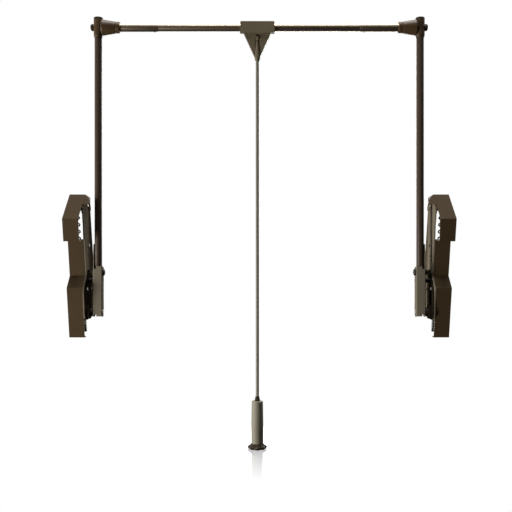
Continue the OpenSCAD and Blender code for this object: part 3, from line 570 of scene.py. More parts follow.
hollow_in = HOUSING_IN + 0.5
hollow_points = [(HOLLOW_OUT, HOLLOW_UNDER_Z), (HOLLOW_LIP_IN, HOLLOW_UNDER_Z), *HOOD_CURVE,
                 (HOLLOW_OUT, RIDGE_Z)]
hollow_curve = rounded(inset(hollow_points, HOUSING_WALL), HOLLOW_CORNER_R, steps=3)
hollow_edge = [(hollow_in, HOLLOW_LOW_Z), *[point for point in hollow_curve if point[0] > hollow_in],
               (hollow_in, HOLLOW_TOP_Z)]
hollow = slab("hollow", inset(housing_outline, HOUSING_WALL), PLATE_T + HOUSING_WALL, HOOD_IN + 2)
combine(hollow, beside_the_hood("hollow_trim", hollow_edge, HOOD_REAR_Y + 1))
combine(housing, [hollow])

cutters = [slab("pocket", inset(housing_outline, PLATE_POCKET), -1, PLATE_T),
           block((REAR_OPENING_X, REAR_Y - 2 * HOUSING_WALL, FLOOR_Z + HOUSING_WALL + 0.3),
                 (HOUSING_IN + 4, REAR_Y + 3, ROOF_REAR_Z - ROOF_CORNER_R - 0.5)),
           block((*FOOT_OPENING, FLOOR_Z - 1), (HOUSING_IN + 4, REAR_Y + 3, FLOOR_Z + HOUSING_WALL + 0.5))]
for radius, places in ((DRIVER_R, WALL_SCREWS), (STANDOFF_HOLE_R, STANDOFFS), (BUSH_HOLE_R, [(0, 0)])):
    cutters += [drill(radius, (HOLE_SPAN[0], y, z), (HOLE_SPAN[1], y, z)) for y, z in places]
cutters += [slab("hood_slant", HOOD_SLANT, HOOD_SLANT_LOW, RIDGE_Z + 5, along="Z")]
combine(housing, cutters)
both_sides(housing, "housing", lambda piece: soften(piece, 1.0))

# %% [markdown]
# The cheek is a steel plate beside the housing. It carries the pivot, and its rear edge is bent towards the
# wardrobe. The section with its bend is pulled up along the plate, leaned to follow the slanted rear edge,
# and trimmed to the outline, which runs just behind the housing's own edge.

# %% Cheek
CHEEK_OUT = 41.3
CHEEK_IN = 44.3
FLANGE_IN = 53.3
FLANGE_T = 3.0
SECTION_FRONT = -110.0
BEND_R = 4.0
# What comes off the flange in front view, so that it narrows towards the top
FLANGE_TAPER = [(FLANGE_IN + 0.1, 130), (FLANGE_IN + 5, 130), (FLANGE_IN + 5, 300), (46.2, 300)]
CHEEK_TOP = 298.0
CHEEK_REAR_TOP_Y = 34.0
CHEEK_REAR_LOW = (62.0, -16.0)
CHEEK_FOOT_R = 21.0
# The front edge from the top down, just behind the housing's own edge
CHEEK_FRONT_TOP_Y = -13.0
CHEEK_FRONT = [(-27, 285), (-33.5, 278), (-33, 252), (-26, 232), (-23, 206), (-19.5, 192), (1.5, 97.5),
               (-30, 64.5), (-22, 15)]
SCREW_HOLE_R = 2.15
ACCESS_HOLE_R = 5.0

outer_side = [(CHEEK_OUT, SECTION_FRONT), (CHEEK_OUT, 0), (FLANGE_IN, 0)]
inner_side = [(FLANGE_IN, -FLANGE_T), (CHEEK_IN, -FLANGE_T), (CHEEK_IN, SECTION_FRONT)]
section = rounded(outer_side, BEND_R + FLANGE_T, steps=6, closed=False)
section += rounded(inner_side, BEND_R, steps=6, closed=False)
cheek = slab("left_cheek_work", section, -CHEEK_FOOT_R - 1, CHEEK_TOP, along="Z")
rear_slope = (CHEEK_REAR_TOP_Y - CHEEK_REAR_LOW[0]) / (CHEEK_TOP - CHEEK_REAR_LOW[1])
for vertex in cheek.data.vertices:
    vertex.co.y += CHEEK_REAR_LOW[0] * MM + (vertex.co.z - CHEEK_REAR_LOW[1] * MM) * rear_slope

cheek_outline = [(CHEEK_FRONT_TOP_Y, CHEEK_TOP), *CHEEK_FRONT, (-CHEEK_FOOT_R, 0), (0, -CHEEK_FOOT_R),
                 (CHEEK_REAR_LOW[0] + 2, CHEEK_REAR_LOW[1]), (CHEEK_REAR_TOP_Y + 2, CHEEK_TOP + 1),
                 (CHEEK_FRONT_TOP_Y, CHEEK_TOP + 1)]
blank = slab("cheek_blank", rounded(cheek_outline, 1.5), CHEEK_OUT - 1, FLANGE_IN + 1)
combine(blank, [drill(CHEEK_FOOT_R, (CHEEK_OUT - 1, 0, 0), (FLANGE_IN + 1, 0, 0), TURN_STEPS)], "UNION")
combine(cheek, [blank], "INTERSECT")
cutters = [slab("flange_taper", FLANGE_TAPER, 0, CHEEK_REAR_LOW[0] + 5, along="Y")]
for radius, places in ((BUSH_HOLE_R, [(0, 0)]), (SCREW_HOLE_R, STANDOFFS), (ACCESS_HOLE_R, WALL_SCREWS[:2])):
    cutters += [drill(radius, (CHEEK_OUT - 2, y, z), (CHEEK_IN + 2, y, z)) for y, z in places]
combine(cheek, cutters)
both_sides(cheek, "cheek", lambda piece: soften(piece, 0.4, segments=2))

# %% [markdown]
# The balance spring is a compression spring of round wire. It leans forward with the rack, and its ends are
# closed: the first and the last turn lie almost flat, so that they stand on their seats. The helix is
# worked out by a loop, drawn as a curve with a round section and turned into a mesh. When the frame comes
# down the rack lifts the spring's foot. Each spring gets a mesh of its own, but is not flattened here.

# %% Spring
LEAN = math.radians(12)
SPRING_X = 18.0
SPRING_N = 40.5
SPRING_FOOT = -57.3
SPRING_TOP = 272.0
WIRE = 3.8
COIL_OUTER_R = 13.0
COIL_R = COIL_OUTER_R - WIRE / 2
TURNS = 19
TURN_POINTS = 28
# A closed turn rises by this many wire widths
CLOSED_PITCH = 1.06


def leaning(x, n, t):
    """A point of the leaning mechanism: inwards, square to the lean and along it."""
    return Vector((x, n * math.cos(LEAN) - t * math.sin(LEAN), n * math.sin(LEAN) + t * math.cos(LEAN)))


def spring_height(turn):
    """How far up the wire's centre is after so many turns: close at the ends and open between."""
    low, high = SPRING_FOOT + WIRE / 2, SPRING_TOP - WIRE / 2
    closed = WIRE * CLOSED_PITCH
    if turn <= 1:
        return low + closed * turn
    if turn >= TURNS - 1:
        return high - closed * (TURNS - turn)
    t = (turn - 1) / (TURNS - 2)
    return low + closed + (high - low - 2 * closed) * t


spring_curve = bpy.data.curves.new("left_spring_work", "CURVE")
spring_curve.dimensions = "3D"
spring_curve.bevel_depth = WIRE / 2 * MM
spring_curve.bevel_resolution = 3
spring_curve.use_fill_caps = True
line = spring_curve.splines.new("POLY")
line.points.add(TURNS * TURN_POINTS)
for i, point in enumerate(line.points):
    turn = i / TURN_POINTS
    angle = 2 * math.pi * turn
    place = leaning(SPRING_X + COIL_R * math.cos(angle), SPRING_N + COIL_R * math.sin(angle),
                    spring_height(turn)) * MM
    point.co = (*place, 1)
spring = bpy.data.objects.new("left_spring_work", spring_curve)
bpy.context.scene.collection.objects.link(spring)
activate(spring)
bpy.ops.object.convert(target="MESH")
spring = bpy.context.active_object
outward(spring)
both_sides(spring, "spring", lambda piece: smooth(piece, 60))
for side, x in (("left", SPRING_X), ("right", WALL_GAP - SPRING_X)):
    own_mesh(bpy.data.objects[side + "_spring_shaped"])

# %% [markdown]
# The lever is a channel pressed from 2 mm sheet: a web in front and two flanges, the outer one taller.
# Sheet bends on a radius, so the section is drawn with round corners, pulled up to the full height and then
# trimmed to the two flange outlines, as a press tool would blank it.

# %% Lever
ARM_X = 77.0
LEVER_X0 = 64.9
LEVER_X1 = 89.1
SHEET = 2.0
WEB_Y = -12.1
LEVER_REAR_Y = 11.1
LEVER_TOP = 123.0
FLANGE_TOP = 182.0
FOOT_R = 13.0
CLAMP_Z = 107.0
NOTCH = 7.0
WEB_LOW = -11.0
# The bends, the section's overrun before it is trimmed, and the flanges' sloping tops
BEND_OUT_R = 2.6
BEND_IN_R = 0.7
OVERRUN = 4.0
SLOPE_Y = 6.0
INNER_SLOPE_Z = 12.0
OUTER_SLOPE_Z = 18.0
FOOT_ARC_STEPS = 14
SHAFT_HOLE_R = 7.02
CLAMP_HOLE_R = 4.02

outer_bend = rounded([(LEVER_X0, LEVER_REAR_Y + OVERRUN), (LEVER_X0, WEB_Y), (LEVER_X1, WEB_Y),
                      (LEVER_X1, LEVER_REAR_Y + OVERRUN)], BEND_OUT_R, closed=False)
inner_bend = rounded([(LEVER_X1 - SHEET, LEVER_REAR_Y + OVERRUN), (LEVER_X1 - SHEET, WEB_Y + SHEET),
                      (LEVER_X0 + SHEET, WEB_Y + SHEET), (LEVER_X0 + SHEET, LEVER_REAR_Y + OVERRUN)],
                     BEND_IN_R, closed=False)
lever = slab("left_lever_work", outer_bend + inner_bend, -FOOT_R, FLANGE_TOP, along="Z")

foot_turn = math.acos((WEB_Y + SHEET) / FOOT_R)
foot_angles = [-foot_turn * i / FOOT_ARC_STEPS for i in range(FOOT_ARC_STEPS + 1)]
foot_arc = [(FOOT_R * math.cos(angle), FOOT_R * math.sin(angle)) for angle in foot_angles]
foot_arc += [(WEB_Y + SHEET, WEB_LOW), (WEB_Y, WEB_LOW)]
inner_outline = foot_arc + [(WEB_Y, LEVER_TOP), (WEB_Y + SLOPE_Y, LEVER_TOP),
                            (LEVER_REAR_Y, CLAMP_Z + INNER_SLOPE_Z), (LEVER_REAR_Y, 3 * FOOT_R)]
outer_outline = foot_arc + [(WEB_Y, LEVER_TOP), (WEB_Y + SHEET, LEVER_TOP), (WEB_Y + SLOPE_Y, FLANGE_TOP),
                            (LEVER_REAR_Y - SLOPE_Y, FLANGE_TOP), (LEVER_REAR_Y, FLANGE_TOP - OUTER_SLOPE_Z),
                            (LEVER_REAR_Y, 3 * FOOT_R)]
blank = slab("lever_blank", outer_outline, LEVER_X0 - 1, LEVER_X0 + SHEET + 0.01)
combine(blank, [slab("lever_blank_inner", inner_outline, LEVER_X0 + SHEET, LEVER_X1 + 1)], "UNION")
combine(lever, [blank], "INTERSECT")
cutters = [block((LEVER_X0 + SHEET, WEB_Y - 1, z),
                 (LEVER_X0 + SHEET + NOTCH, WEB_Y + SHEET + 0.5, z + NOTCH + 2))
           for z in (WEB_LOW - 2.5, LEVER_TOP - NOTCH)]
cutters += [drill(radius, (LEVER_X0 - 2, 0, z), (LEVER_X1 + 2, 0, z))
            for radius, z in ((SHAFT_HOLE_R, 0), (CLAMP_HOLE_R, CLAMP_Z))]
combine(lever, cutters)
both_sides(lever, "lever", lambda piece: soften(piece, 0.35, segments=2))

# %% [markdown]
# The arms, the rail and the pull rod are steel tube and bar. Each is turned from its section, with the ends
# broken by a small radius as a deburred cut has. Seventy-two steps round a 20 mm tube keep the long
# highlight clean.


# %% Tubes and the pull rod
def tube(name, outer_r, inner_r, low, high, centre, along):
    """A tube with deburred ends."""
    profile = rounded([(inner_r, low), (outer_r, low), (outer_r, high), (inner_r, high)], 0.4, steps=3)
    return turned(name, profile, centre, along)


RAIL_Z = 762.0
RAIL_R = 10.0
RAIL_IN_SLEEVE = 65.0
ARM_R = 10.0
ARM_LOW = 16.0
ARM_TOP = 775.5
TUBE_WALL = 1.5
SLEEVE_R = 11.05
SLEEVE_WALL = 1.0
SLEEVE_X0 = 97.3
SLEEVE_X1 = 237.3
SADDLE_X = WALL_GAP / 2 - 5
ROD_Y = -4.0
ROD_R = 4.4
ROD_LOW = -297.0
ROD_TOP = 703.0
# Shared by the rail, the sleeves and the cross screws
RAIL_AXIS = (0, 0, RAIL_Z)
ROD_AXIS = (SADDLE_X, ROD_Y, 0)

both_sides(tube("left_arm_work", ARM_R, ARM_R - TUBE_WALL, ARM_LOW, ARM_TOP, (ARM_X, 0, 0), "Z"), "arm_tube",
           smooth)
both_sides(tube("left_sleeve_work", SLEEVE_R, SLEEVE_R - SLEEVE_WALL, SLEEVE_X0, SLEEVE_X1, RAIL_AXIS, "X"),
           "rail_sleeve", smooth)
rail_x0 = SLEEVE_X1 - RAIL_IN_SLEEVE
rail = tube("rail_work", RAIL_R, RAIL_R - TUBE_WALL, rail_x0, WALL_GAP - rail_x0, RAIL_AXIS, "X")
smooth(rail)
dress(rail, "rail_tube")
rod_profile = [(0, ROD_LOW), (ROD_R, ROD_LOW), (ROD_R, ROD_TOP), (0, ROD_TOP)]
rod = turned_solid("rod_work", rod_profile, 0.5, ROD_AXIS)
smooth(rod)
dress(rod, "pull_rod")

# %% [markdown]
# The elbow is one moulding: an upright socket for the arm, with a cone that narrows to a plain collar round
# the rail and a small boss for the cross screw. The three are turned on their own axes, joined, and bored
# for the tube, the sleeve and the screw.

# %% Elbow
ELBOW_R = 12.3
ELBOW_LOW = 735.0
ELBOW_TOP = 783.5
ELBOW_MOUTH_R = 10.8
ELBOW_MOUTH_L = 6.0
CONE_X0 = 89.3
CONE_X1 = 135.3
CONE_BACK_R = 19.5
CONE_BACK_L = 3.0
CONE_R = 21.0
CONE_END_R = 15.4
# A groove parts the cone from the plain collar
GROOVE_R = 14.3
GROOVE_HALF = 0.8
COLLAR_R = 15.0
COLLAR_L = 11.0
BOSS_R = 8.25
BOSS_X = 64.1
ARM_BORE_R = 10.02
SLEEVE_BORE_R = 11.07
CROSS_BORE_R = 3.02
CROSS_BORE_X = 60.0

upright_profile = [(0, ELBOW_LOW), (ELBOW_MOUTH_R, ELBOW_LOW), (ELBOW_R, ELBOW_LOW + ELBOW_MOUTH_L),
                   (ELBOW_R, ELBOW_TOP), (0, ELBOW_TOP)]
elbow = turned_solid("left_elbow_work", upright_profile, 1.0, (ARM_X, 0, 0))
groove_x = CONE_X1 - COLLAR_L
cone_profile = [(0, CONE_X0 - CONE_BACK_L), (CONE_BACK_R, CONE_X0 - CONE_BACK_L), (CONE_R, CONE_X0),
                (CONE_END_R, groove_x - GROOVE_HALF), (GROOVE_R, groove_x),
                (COLLAR_R, groove_x + GROOVE_HALF), (COLLAR_R, CONE_X1), (0, CONE_X1)]
cone = turned_solid("cone", cone_profile, 0.8, RAIL_AXIS, "X")
boss = turned_solid("boss", [(0, BOSS_X), (BOSS_R, BOSS_X), (BOSS_R, ARM_X), (0, ARM_X)], 0.5, RAIL_AXIS, "X")
combine(elbow, [cone, boss], "UNION")
combine(elbow, [drill(ARM_BORE_R, (ARM_X, 0, ELBOW_LOW - 2), (ARM_X, 0, ELBOW_TOP + 2), TURN_STEPS),
                drill(SLEEVE_BORE_R, (SLEEVE_X0, 0, RAIL_Z), (CONE_X1 + 2, 0, RAIL_Z), TURN_STEPS),
                drill(CROSS_BORE_R, (CROSS_BORE_X, 0, RAIL_Z), (SLEEVE_X0 - 1, 0, RAIL_Z))])
both_sides(elbow, "elbow", smooth)

# %% [markdown]
# A cap closes the top of each elbow. It sits on the rim and has a plug that reaches into the tube. On the
# outer side is the head of the cross screw, a thick round knob with a hexagon socket.

# %% Elbow cap and knob
CAP_TOP = 788.5
CAP_PLUG_R = 9.8
CAP_PLUG_L = 5.0
CAP_EDGE_H = 1.2
CAP_EDGE_R = 10.9
KNOB_X0 = 57.1
KNOB_X1 = 64.1
KNOB_R = 9.25
KNOB_DOME = 2.5
KNOB_SHANK_R = 3.0
HEX_R = 3.0
HEX_DEPTH = 4.0

cap_profile = [(0, ELBOW_TOP - CAP_PLUG_L), (CAP_PLUG_R, ELBOW_TOP - CAP_PLUG_L), (CAP_PLUG_R, ELBOW_TOP),
               (ELBOW_R, ELBOW_TOP), (ELBOW_R, CAP_TOP - CAP_EDGE_H), (CAP_EDGE_R, CAP_TOP), (0, CAP_TOP)]
both_sides(turned_solid("left_cap_work", cap_profile, 0.6, (ARM_X, 0, 0)), "elbow_cap", smooth)

knob_profile = [(0, KNOB_X0), (KNOB_R - KNOB_DOME, KNOB_X0), (KNOB_R, KNOB_X0 + KNOB_DOME), (KNOB_R, KNOB_X1),
                (KNOB_SHANK_R, KNOB_X1), (KNOB_SHANK_R, SLEEVE_X0 - 2), (0, SLEEVE_X0 - 2)]
knob = turned_solid("left_knob_work", knob_profile, 0.7, RAIL_AXIS, "X")
combine(knob, [drill(HEX_R, (KNOB_X0 - 2, 0, RAIL_Z), (KNOB_X0 + HEX_DEPTH, 0, RAIL_Z), 6)])
both_sides(knob, "elbow_knob", smooth)

# %% [markdown]
# The bracket grips the rail in two halves. The front half is a saddle block, a little wider in its lower
# half, with a triangular yoke set well back below it. A slot runs up the middle of the yoke, and in it
# swings the rod's socket. The block and the yoke are joined before the cuts, and softened after them.

# %% Bracket yoke
SADDLE_HALF = 45.5
SADDLE_Z0 = 745.0
SADDLE_Z1 = 775.0
SADDLE_DEPTH = 14.0
SADDLE_CORNER_R = 3.0
LIP_W = 1.2
LIP_H = 15.0
YOKE_FRONT = -7.5
YOKE_REAR = 8.0
YOKE_LOW = 684.0
YOKE_HALF = 36.0
YOKE_LOW_HALF = 8.0
SLOT_HALF = 8.0
SLOT_TOP_HALF = 3.4
SLOT_REAR = 4.0
SLOT_TOP = 742.0
SLOT_STRAIGHT = 6.0
PIN_Z = 733.0
PIN_BORE_R = 3.02
RAIL_BORE_R = 10.05
BORE_HALF = 50.0
BRACKET_SCREWS = [(-17, 738), (17, 738)]
BRACKET_SCREW_R = 1.52


def saddle_block(name, half, low, high, depth):
    """A block with rounded ends, from its depth in front back to the rail's middle."""
    left, right = SADDLE_X - half, SADDLE_X + half
    corners = [(left, low), (right, low), (right, high), (left, high)]
    return slab(name, rounded(corners, SADDLE_CORNER_R), -depth, 0, along="Y")


saddle = saddle_block("saddle_work", SADDLE_HALF, SADDLE_Z0, SADDLE_Z1, SADDLE_DEPTH)
lip = saddle_block("lip", SADDLE_HALF + LIP_W, SADDLE_Z0, SADDLE_Z0 + LIP_H, SADDLE_DEPTH - 1)
yoke = slab("yoke", [(SADDLE_X - YOKE_HALF, SADDLE_Z0), (SADDLE_X - YOKE_LOW_HALF, YOKE_LOW),
                     (SADDLE_X + YOKE_LOW_HALF, YOKE_LOW), (SADDLE_X + YOKE_HALF, SADDLE_Z0)],
            YOKE_FRONT, YOKE_REAR, along="Y")
root = block((SADDLE_X - YOKE_HALF, YOKE_FRONT, SADDLE_Z0 - 0.5), (SADDLE_X + YOKE_HALF, 0, SADDLE_Z0 + 2))
combine(saddle, [lip, yoke, root], "UNION")
slot_outline = [(SADDLE_X - SLOT_HALF, YOKE_LOW - 1), (SADDLE_X + SLOT_HALF, YOKE_LOW - 1),
                (SADDLE_X + SLOT_HALF, YOKE_LOW + SLOT_STRAIGHT), (SADDLE_X + SLOT_TOP_HALF, SLOT_TOP),
                (SADDLE_X - SLOT_TOP_HALF, SLOT_TOP), (SADDLE_X - SLOT_HALF, YOKE_LOW + SLOT_STRAIGHT)]
bore_x0, bore_x1 = SADDLE_X - BORE_HALF, SADDLE_X + BORE_HALF
cutters = [slab("slot", slot_outline, -SADDLE_DEPTH - 1, SLOT_REAR, along="Y"),
           drill(RAIL_BORE_R, (bore_x0, 0, RAIL_Z), (bore_x1, 0, RAIL_Z), TURN_STEPS),
           drill(PIN_BORE_R, (bore_x0, ROD_Y, PIN_Z), (bore_x1, ROD_Y, PIN_Z))]
cutters += [drill(BRACKET_SCREW_R, (SADDLE_X + x, 0.5, z), (SADDLE_X + x, YOKE_REAR + 1, z))
            for x, z in BRACKET_SCREWS]
combine(saddle, cutters)
soften(saddle, 0.7)
dress(saddle, "bracket_yoke")

# %% [markdown]
# The rod's socket hangs on the pin by a thin round eye and widens downwards as a cone to a collar, whose
# foot narrows again to the rod. It is turned and joined to the eye, then bored for the pin and the rod.

# %% Rod socket
SOCKET_LOW = 671.0
SOCKET_MOUTH_R = 5.4
FOOT_COLLAR_R = 7.9
FOOT_COLLAR_Z0 = 679.5
FOOT_COLLAR_Z1 = 682.5
SOCKET_CONE_R = 7.7
EYE_HALF = 2.9
EYE_R = 6.8
EYE_BORE_R = 3.05
ROD_BORE_R = 4.42

socket_profile = [(0, SOCKET_LOW), (SOCKET_MOUTH_R, SOCKET_LOW), (FOOT_COLLAR_R, FOOT_COLLAR_Z0),
                  (FOOT_COLLAR_R, FOOT_COLLAR_Z1), (SOCKET_CONE_R, YOKE_LOW), (EYE_HALF, PIN_Z), (0, PIN_Z)]
socket = turned_solid("socket_work", socket_profile, 0.8, ROD_AXIS)
eye_profile = [(0, SADDLE_X - EYE_HALF), (EYE_R, SADDLE_X - EYE_HALF), (EYE_R, SADDLE_X + EYE_HALF),
               (0, SADDLE_X + EYE_HALF)]
eye = turned_solid("eye", eye_profile, 0.7, (0, ROD_Y, PIN_Z), "X")
combine(socket, [eye], "UNION")
combine(socket, [drill(EYE_BORE_R, (SADDLE_X - 10, ROD_Y, PIN_Z), (SADDLE_X + 10, ROD_Y, PIN_Z)),
                 drill(ROD_BORE_R, (SADDLE_X, ROD_Y, SOCKET_LOW - 2), (SADDLE_X, ROD_Y, ROD_TOP))])
smooth(socket)
dress(socket, "rod_socket")

# %% [markdown]
# The grip is a slightly tapered handle with a flared foot, on which it can be pushed as well as pulled. The
# foot is ribbed: eight shallow valleys run down its flare. They are made by pulling the flare's points
# inwards between the ribs, which is easier than modelling one rib and repeating it.

# %% Grip, ferrule and foot
GRIP_TOP = -237.0
GRIP_LOW = -350.0
GRIP_R1 = 15.0
GRIP_R2 = 16.25
GRIP_BEND = (GRIP_R2 - 0.2, -300)
GRIP_EDGE = 1.5
GRIP_BORE_R = ROD_R + 0.02
SPIGOT_R = 11.25
SPIGOT_L = 8.0
FERRULE_R = 7.5
FERRULE_TOP_R = 5.2
FERRULE_H = 12.0
FOOT_LOW = -364.0
FOOT_R_OUT = 26.5
FOOT_NECK_R = 18.5
FOOT_NECK_L = 3.0
# The rim's two heights above the foot's underside, and the well in it
RIM_Z0 = 4.0
RIM_Z1 = 6.0
WELL_R = 17.25
WELL_BOTTOM_R = 13.25
SPIGOT_CLEAR_L = 9.0
FOOT_TURN_STEPS = 96
# The ribs start at this radius and are full this much further out
RIB_START_R = 18.0
RIB_RUN = 6.0
RIBS = 8
RIB_DEPTH = 0.16

grip_profile = [(GRIP_BORE_R, GRIP_LOW - SPIGOT_L), (SPIGOT_R, GRIP_LOW - SPIGOT_L), (SPIGOT_R, GRIP_LOW),
                (GRIP_R2, GRIP_LOW), GRIP_BEND, (GRIP_R1, GRIP_TOP - GRIP_EDGE),
                (GRIP_R1 - GRIP_EDGE, GRIP_TOP), (GRIP_BORE_R, GRIP_TOP)]
grip = turned("grip_work", rounded(grip_profile, 0.8), ROD_AXIS)
smooth(grip)
dress(grip, "grip")

ferrule_profile = [(GRIP_BORE_R, GRIP_TOP), (FERRULE_R, GRIP_TOP), (FERRULE_TOP_R, GRIP_TOP + FERRULE_H),
                   (GRIP_BORE_R, GRIP_TOP + FERRULE_H)]
ferrule = turned("ferrule_work", rounded(ferrule_profile, 0.3), ROD_AXIS)
smooth(ferrule)
dress(ferrule, "grip_ferrule")

foot_bore_r = SPIGOT_R + 0.02
foot_profile = [(foot_bore_r, GRIP_LOW), (GRIP_R2 + 0.5, GRIP_LOW), (FOOT_NECK_R, GRIP_LOW - FOOT_NECK_L),
                (FOOT_R_OUT, FOOT_LOW + RIM_Z1), (FOOT_R_OUT, FOOT_LOW + RIM_Z0), (FOOT_R_OUT - 2, FOOT_LOW),
                (WELL_R, FOOT_LOW), (WELL_BOTTOM_R, GRIP_LOW - SPIGOT_CLEAR_L),
                (foot_bore_r, GRIP_LOW - SPIGOT_CLEAR_L)]
foot = turned("foot_work", rounded(foot_profile, 0.8), ROD_AXIS, steps=FOOT_TURN_STEPS)
foot_axis = Vector((SADDLE_X * MM, ROD_Y * MM, 0))
for vertex in foot.data.vertices:
    out = vertex.co - foot_axis
    radius = math.hypot(out.x, out.y) / MM
    flare = min(max((radius - RIB_START_R) / RIB_RUN, 0), 1)
    valley = 0.5 - 0.5 * math.cos(RIBS * math.atan2(out.y, out.x))
    factor = 1 - RIB_DEPTH * flare * valley
    vertex.co.x = foot_axis.x + out.x * factor
    vertex.co.y = foot_axis.y + out.y * factor
smooth(foot)
dress(foot, "grip_foot")

# %% [markdown]
# The plates, seats and small fittings already have the right shape in the engineering model, but their
# edges are mathematically sharp. Each is copied, its loose triangles are merged back into whole faces, and
# its edges are rounded by up to a few tenths of a millimetre. The copy then stands for the original.

# %% Plates and fittings
EDGE_MM = {"wall_plate": 0.4, "carrier": 0.5, "standoffs": 0.3, "cheek_screws": 0.3,
           "outer_bush": 0.25, "inner_bush": 0.25, "rack_guide": 0.5, "upper_seat": 0.5, "guide_rod": 0.4,
           "stop_buffer": 0.8, "rack": 0.2, "pivot_shaft": 0.5, "sector_gear": 0.2, "spacer_ring": 0.4,
           "clamp_bolt": 0.3, "sleeve_screw": 0.2}
MIDDLE_EDGE_MM = {"bracket_clamp": 0.7, "bracket_screws": 0.3, "rod_pin": 0.4}
# Nearer points are merged, and triangles at a smaller angle become one face
LOOSE_MM = 0.005
FLAT_DEGREES = 1.5


def edged_copy(node, width):
    """A copy of a node with whole faces and rounded edges, which stands for it."""
    copy = bpy.data.objects.new(node + "_work", frame["nodes"][node].data.copy())
    bpy.context.scene.collection.objects.link(copy)
    edit(copy)
    bpy.ops.mesh.remove_doubles(threshold=LOOSE_MM * MM)
    bpy.ops.mesh.dissolve_limited(angle_limit=math.radians(FLAT_DEGREES))
    leave()
    soften(copy, width, segments=2, degrees=38)
    dress(copy, node)


for name, width in EDGE_MM.items():
    for side in ("left_", "right_"):
        edged_copy(side + name, width)
for name, width in MIDDLE_EDGE_MM.items():
    edged_copy(name, width)

# %% [markdown]
# The studio is white behind the object and dark in front of it. The camera sees plain white everywhere.
# Glossy surfaces see white behind them and overhead, and less and less of it further down in front, which
# gives the tubes a bright upper half and a dark lower one. Hardly any light falls on the object from all
# round. A large key lamp stands low on the far left, a wide one hangs above, and a weaker one behind is for
# the views from there. The floor is white and holds no light back, because only the camera's own rays meet
# it. It mirrors a little round the foot of the rod, and that fades to nothing a short way from it.

# %% Studio
FLOOR_GAP = 0.0006
FLOOR_AT = cad_box[0].z - FLOOR_GAP
FLOOR_SIZE = 14
FLOOR_MIDDLE = (0.5, 3.0)
# Distances in metres from the rod's foot at which the floor mirrors most and not at all
MIRROR_NEAR = 0.03
MIRROR_FAR = 0.27
MIRROR_SHARE = 0.45
MIRROR_ROUGHNESS = 0.14
AMBIENT = 0.03
# What a glossy surface sees in front of it: how far up, and how bright
FRONT_LEVELS = [(0.0, 0.012), (0.28, 0.015), (0.32, 0.16), (0.77, 0.4), (0.98, 1.0)]
# Where the front turns into the rear wall, and where that wall's dark foot turns white
FRONT_TO_BACK = (-0.03, 0.08)
WALL_FOOT_TO_WHITE = (-0.5, -0.15)
WALL_FOOT_LEVEL = 0.02
WHITE = (1, 1, 1, 1)
# Name, place, point that it looks at, size in metres and power in watts
LAMPS = [("key", (-2.4, -1.15, -0.85), (0.4, 0, 0.15), 1.6, 120),
         ("top", (0.5, -0.1, 3.2), (0.5, 0, 0.3), 2.0, 90),
         ("back", (1.2, 3.0, 1.0), (0.5, 0, 0.3), 1.6, 50)]


def pale_floor():
    """White to the camera and clear to other rays, with a dim mirror round the rod's foot."""
    material, tree = blank_material("pale_floor")
    path = add(tree, "ShaderNodeLightPath")
    place = add(tree, "ShaderNodeTexCoord").outputs["Object"]
    away = add(tree, "ShaderNodeVectorMath", {0: place, 1: (SADDLE_X * MM, ROD_Y * MM, FLOOR_AT)},
               operation="DISTANCE")
    fade = add(tree, "ShaderNodeMapRange", {"Value": away.outputs["Value"], "From Min": MIRROR_NEAR,
                                            "From Max": MIRROR_FAR, "To Min": MIRROR_SHARE, "To Max": 0.0})
    white = add(tree, "ShaderNodeEmission", {"Color": WHITE, "Strength": 1.0})
    gloss = add(tree, "ShaderNodeBsdfGlossy", {"Color": WHITE, "Roughness": MIRROR_ROUGHNESS})
    seen = add(tree, "ShaderNodeMixShader", {0: fade.outputs["Result"], 1: white.outputs["Emission"],
                                             2: gloss.outputs["BSDF"]})
    clear = add(tree, "ShaderNodeBsdfTransparent", {"Color": WHITE})
    mix = add(tree, "ShaderNodeMixShader", {0: path.outputs["Is Camera Ray"], 1: clear.outputs["BSDF"],
                                            2: seen.outputs["Shader"]})
    add(tree, "ShaderNodeOutputMaterial", {"Surface": mix.outputs["Shader"]})
    return material


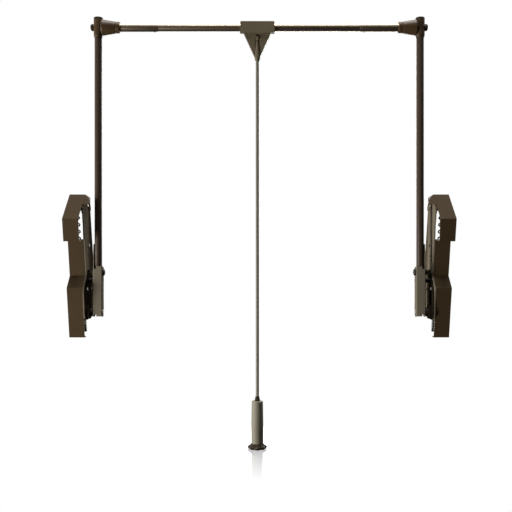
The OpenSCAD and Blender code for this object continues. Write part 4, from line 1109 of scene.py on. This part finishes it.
def white_room():
    """A world that is white to the camera, and bright behind and above to glossy surfaces."""
    world = bpy.data.worlds.new("white_room")
    world.use_nodes = True
    tree = world.node_tree
    tree.nodes.clear()
    path = add(tree, "ShaderNodeLightPath")
    towards = add(tree, "ShaderNodeSeparateXYZ", {0: add(tree, "ShaderNodeTexCoord").outputs["Generated"]})
    front = add(tree, "ShaderNodeValToRGB", {"Fac": towards.outputs["Z"]})
    stops = front.color_ramp.elements
    stops.remove(stops[1])
    for place, level in FRONT_LEVELS:
        stop = stops[0] if place == 0.0 else stops.new(place)
        stop.color = (level, level, level, 1)
    behind = add(tree, "ShaderNodeMapRange", {"Value": towards.outputs["Y"], "From Min": FRONT_TO_BACK[0],
                                              "From Max": FRONT_TO_BACK[1]})
    wall = add(tree, "ShaderNodeMapRange", {"Value": towards.outputs["Z"], "From Min": WALL_FOOT_TO_WHITE[0],
                                            "From Max": WALL_FOOT_TO_WHITE[1], "To Min": WALL_FOOT_LEVEL,
                                            "To Max": 1.0})
    glossy = add(tree, "ShaderNodeMix", {"Factor": behind.outputs["Result"], "A": front.outputs["Color"],
                                         "B": wall.outputs["Result"]}, data_type="RGBA")
    bounce = add(tree, "ShaderNodeMix", {"Factor": path.outputs["Is Glossy Ray"],
                                         "A": (AMBIENT, AMBIENT, AMBIENT, 1),
                                         "B": glossy.outputs["Result"]}, data_type="RGBA")
    colour = add(tree, "ShaderNodeMix", {"Factor": path.outputs["Is Camera Ray"],
                                         "A": bounce.outputs["Result"], "B": WHITE}, data_type="RGBA")
    room = add(tree, "ShaderNodeBackground", {"Color": colour.outputs["Result"], "Strength": 1.0})
    add(tree, "ShaderNodeOutputWorld", {"Surface": room.outputs["Background"]})
    return world


def lamp(name, at, towards, size, power):
    """A soft square lamp that looks at a point and that the camera doesn't see."""
    direction = Vector(towards) - Vector(at)
    bpy.ops.object.light_add(type="AREA", location=at, rotation=direction.to_track_quat("-Z", "Y").to_euler())
    light = bpy.context.active_object
    light.name = name
    light.data.size = size
    light.data.energy = power
    light.visible_camera = False


bpy.ops.object.select_all(action="DESELECT")
bpy.ops.mesh.primitive_plane_add(size=FLOOR_SIZE, location=(*FLOOR_MIDDLE, FLOOR_AT))
floor = bpy.context.active_object
floor.name = "floor"
bpy.ops.object.transform_apply(location=True)
floor.data.materials.append(pale_floor())
floor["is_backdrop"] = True

bpy.context.scene.world = white_room()
for row in LAMPS:
    lamp(*row)
bpy.context.scene.view_settings.view_transform = "Standard"

# %% Sizes and checks
new_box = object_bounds()
grown = [(new - old) / MM for old, new in zip([*cad_box[0], *cad_box[1]], [*new_box[0], *new_box[1]])]
print("grown by, mm:", [round(value, 2) for value in grown])
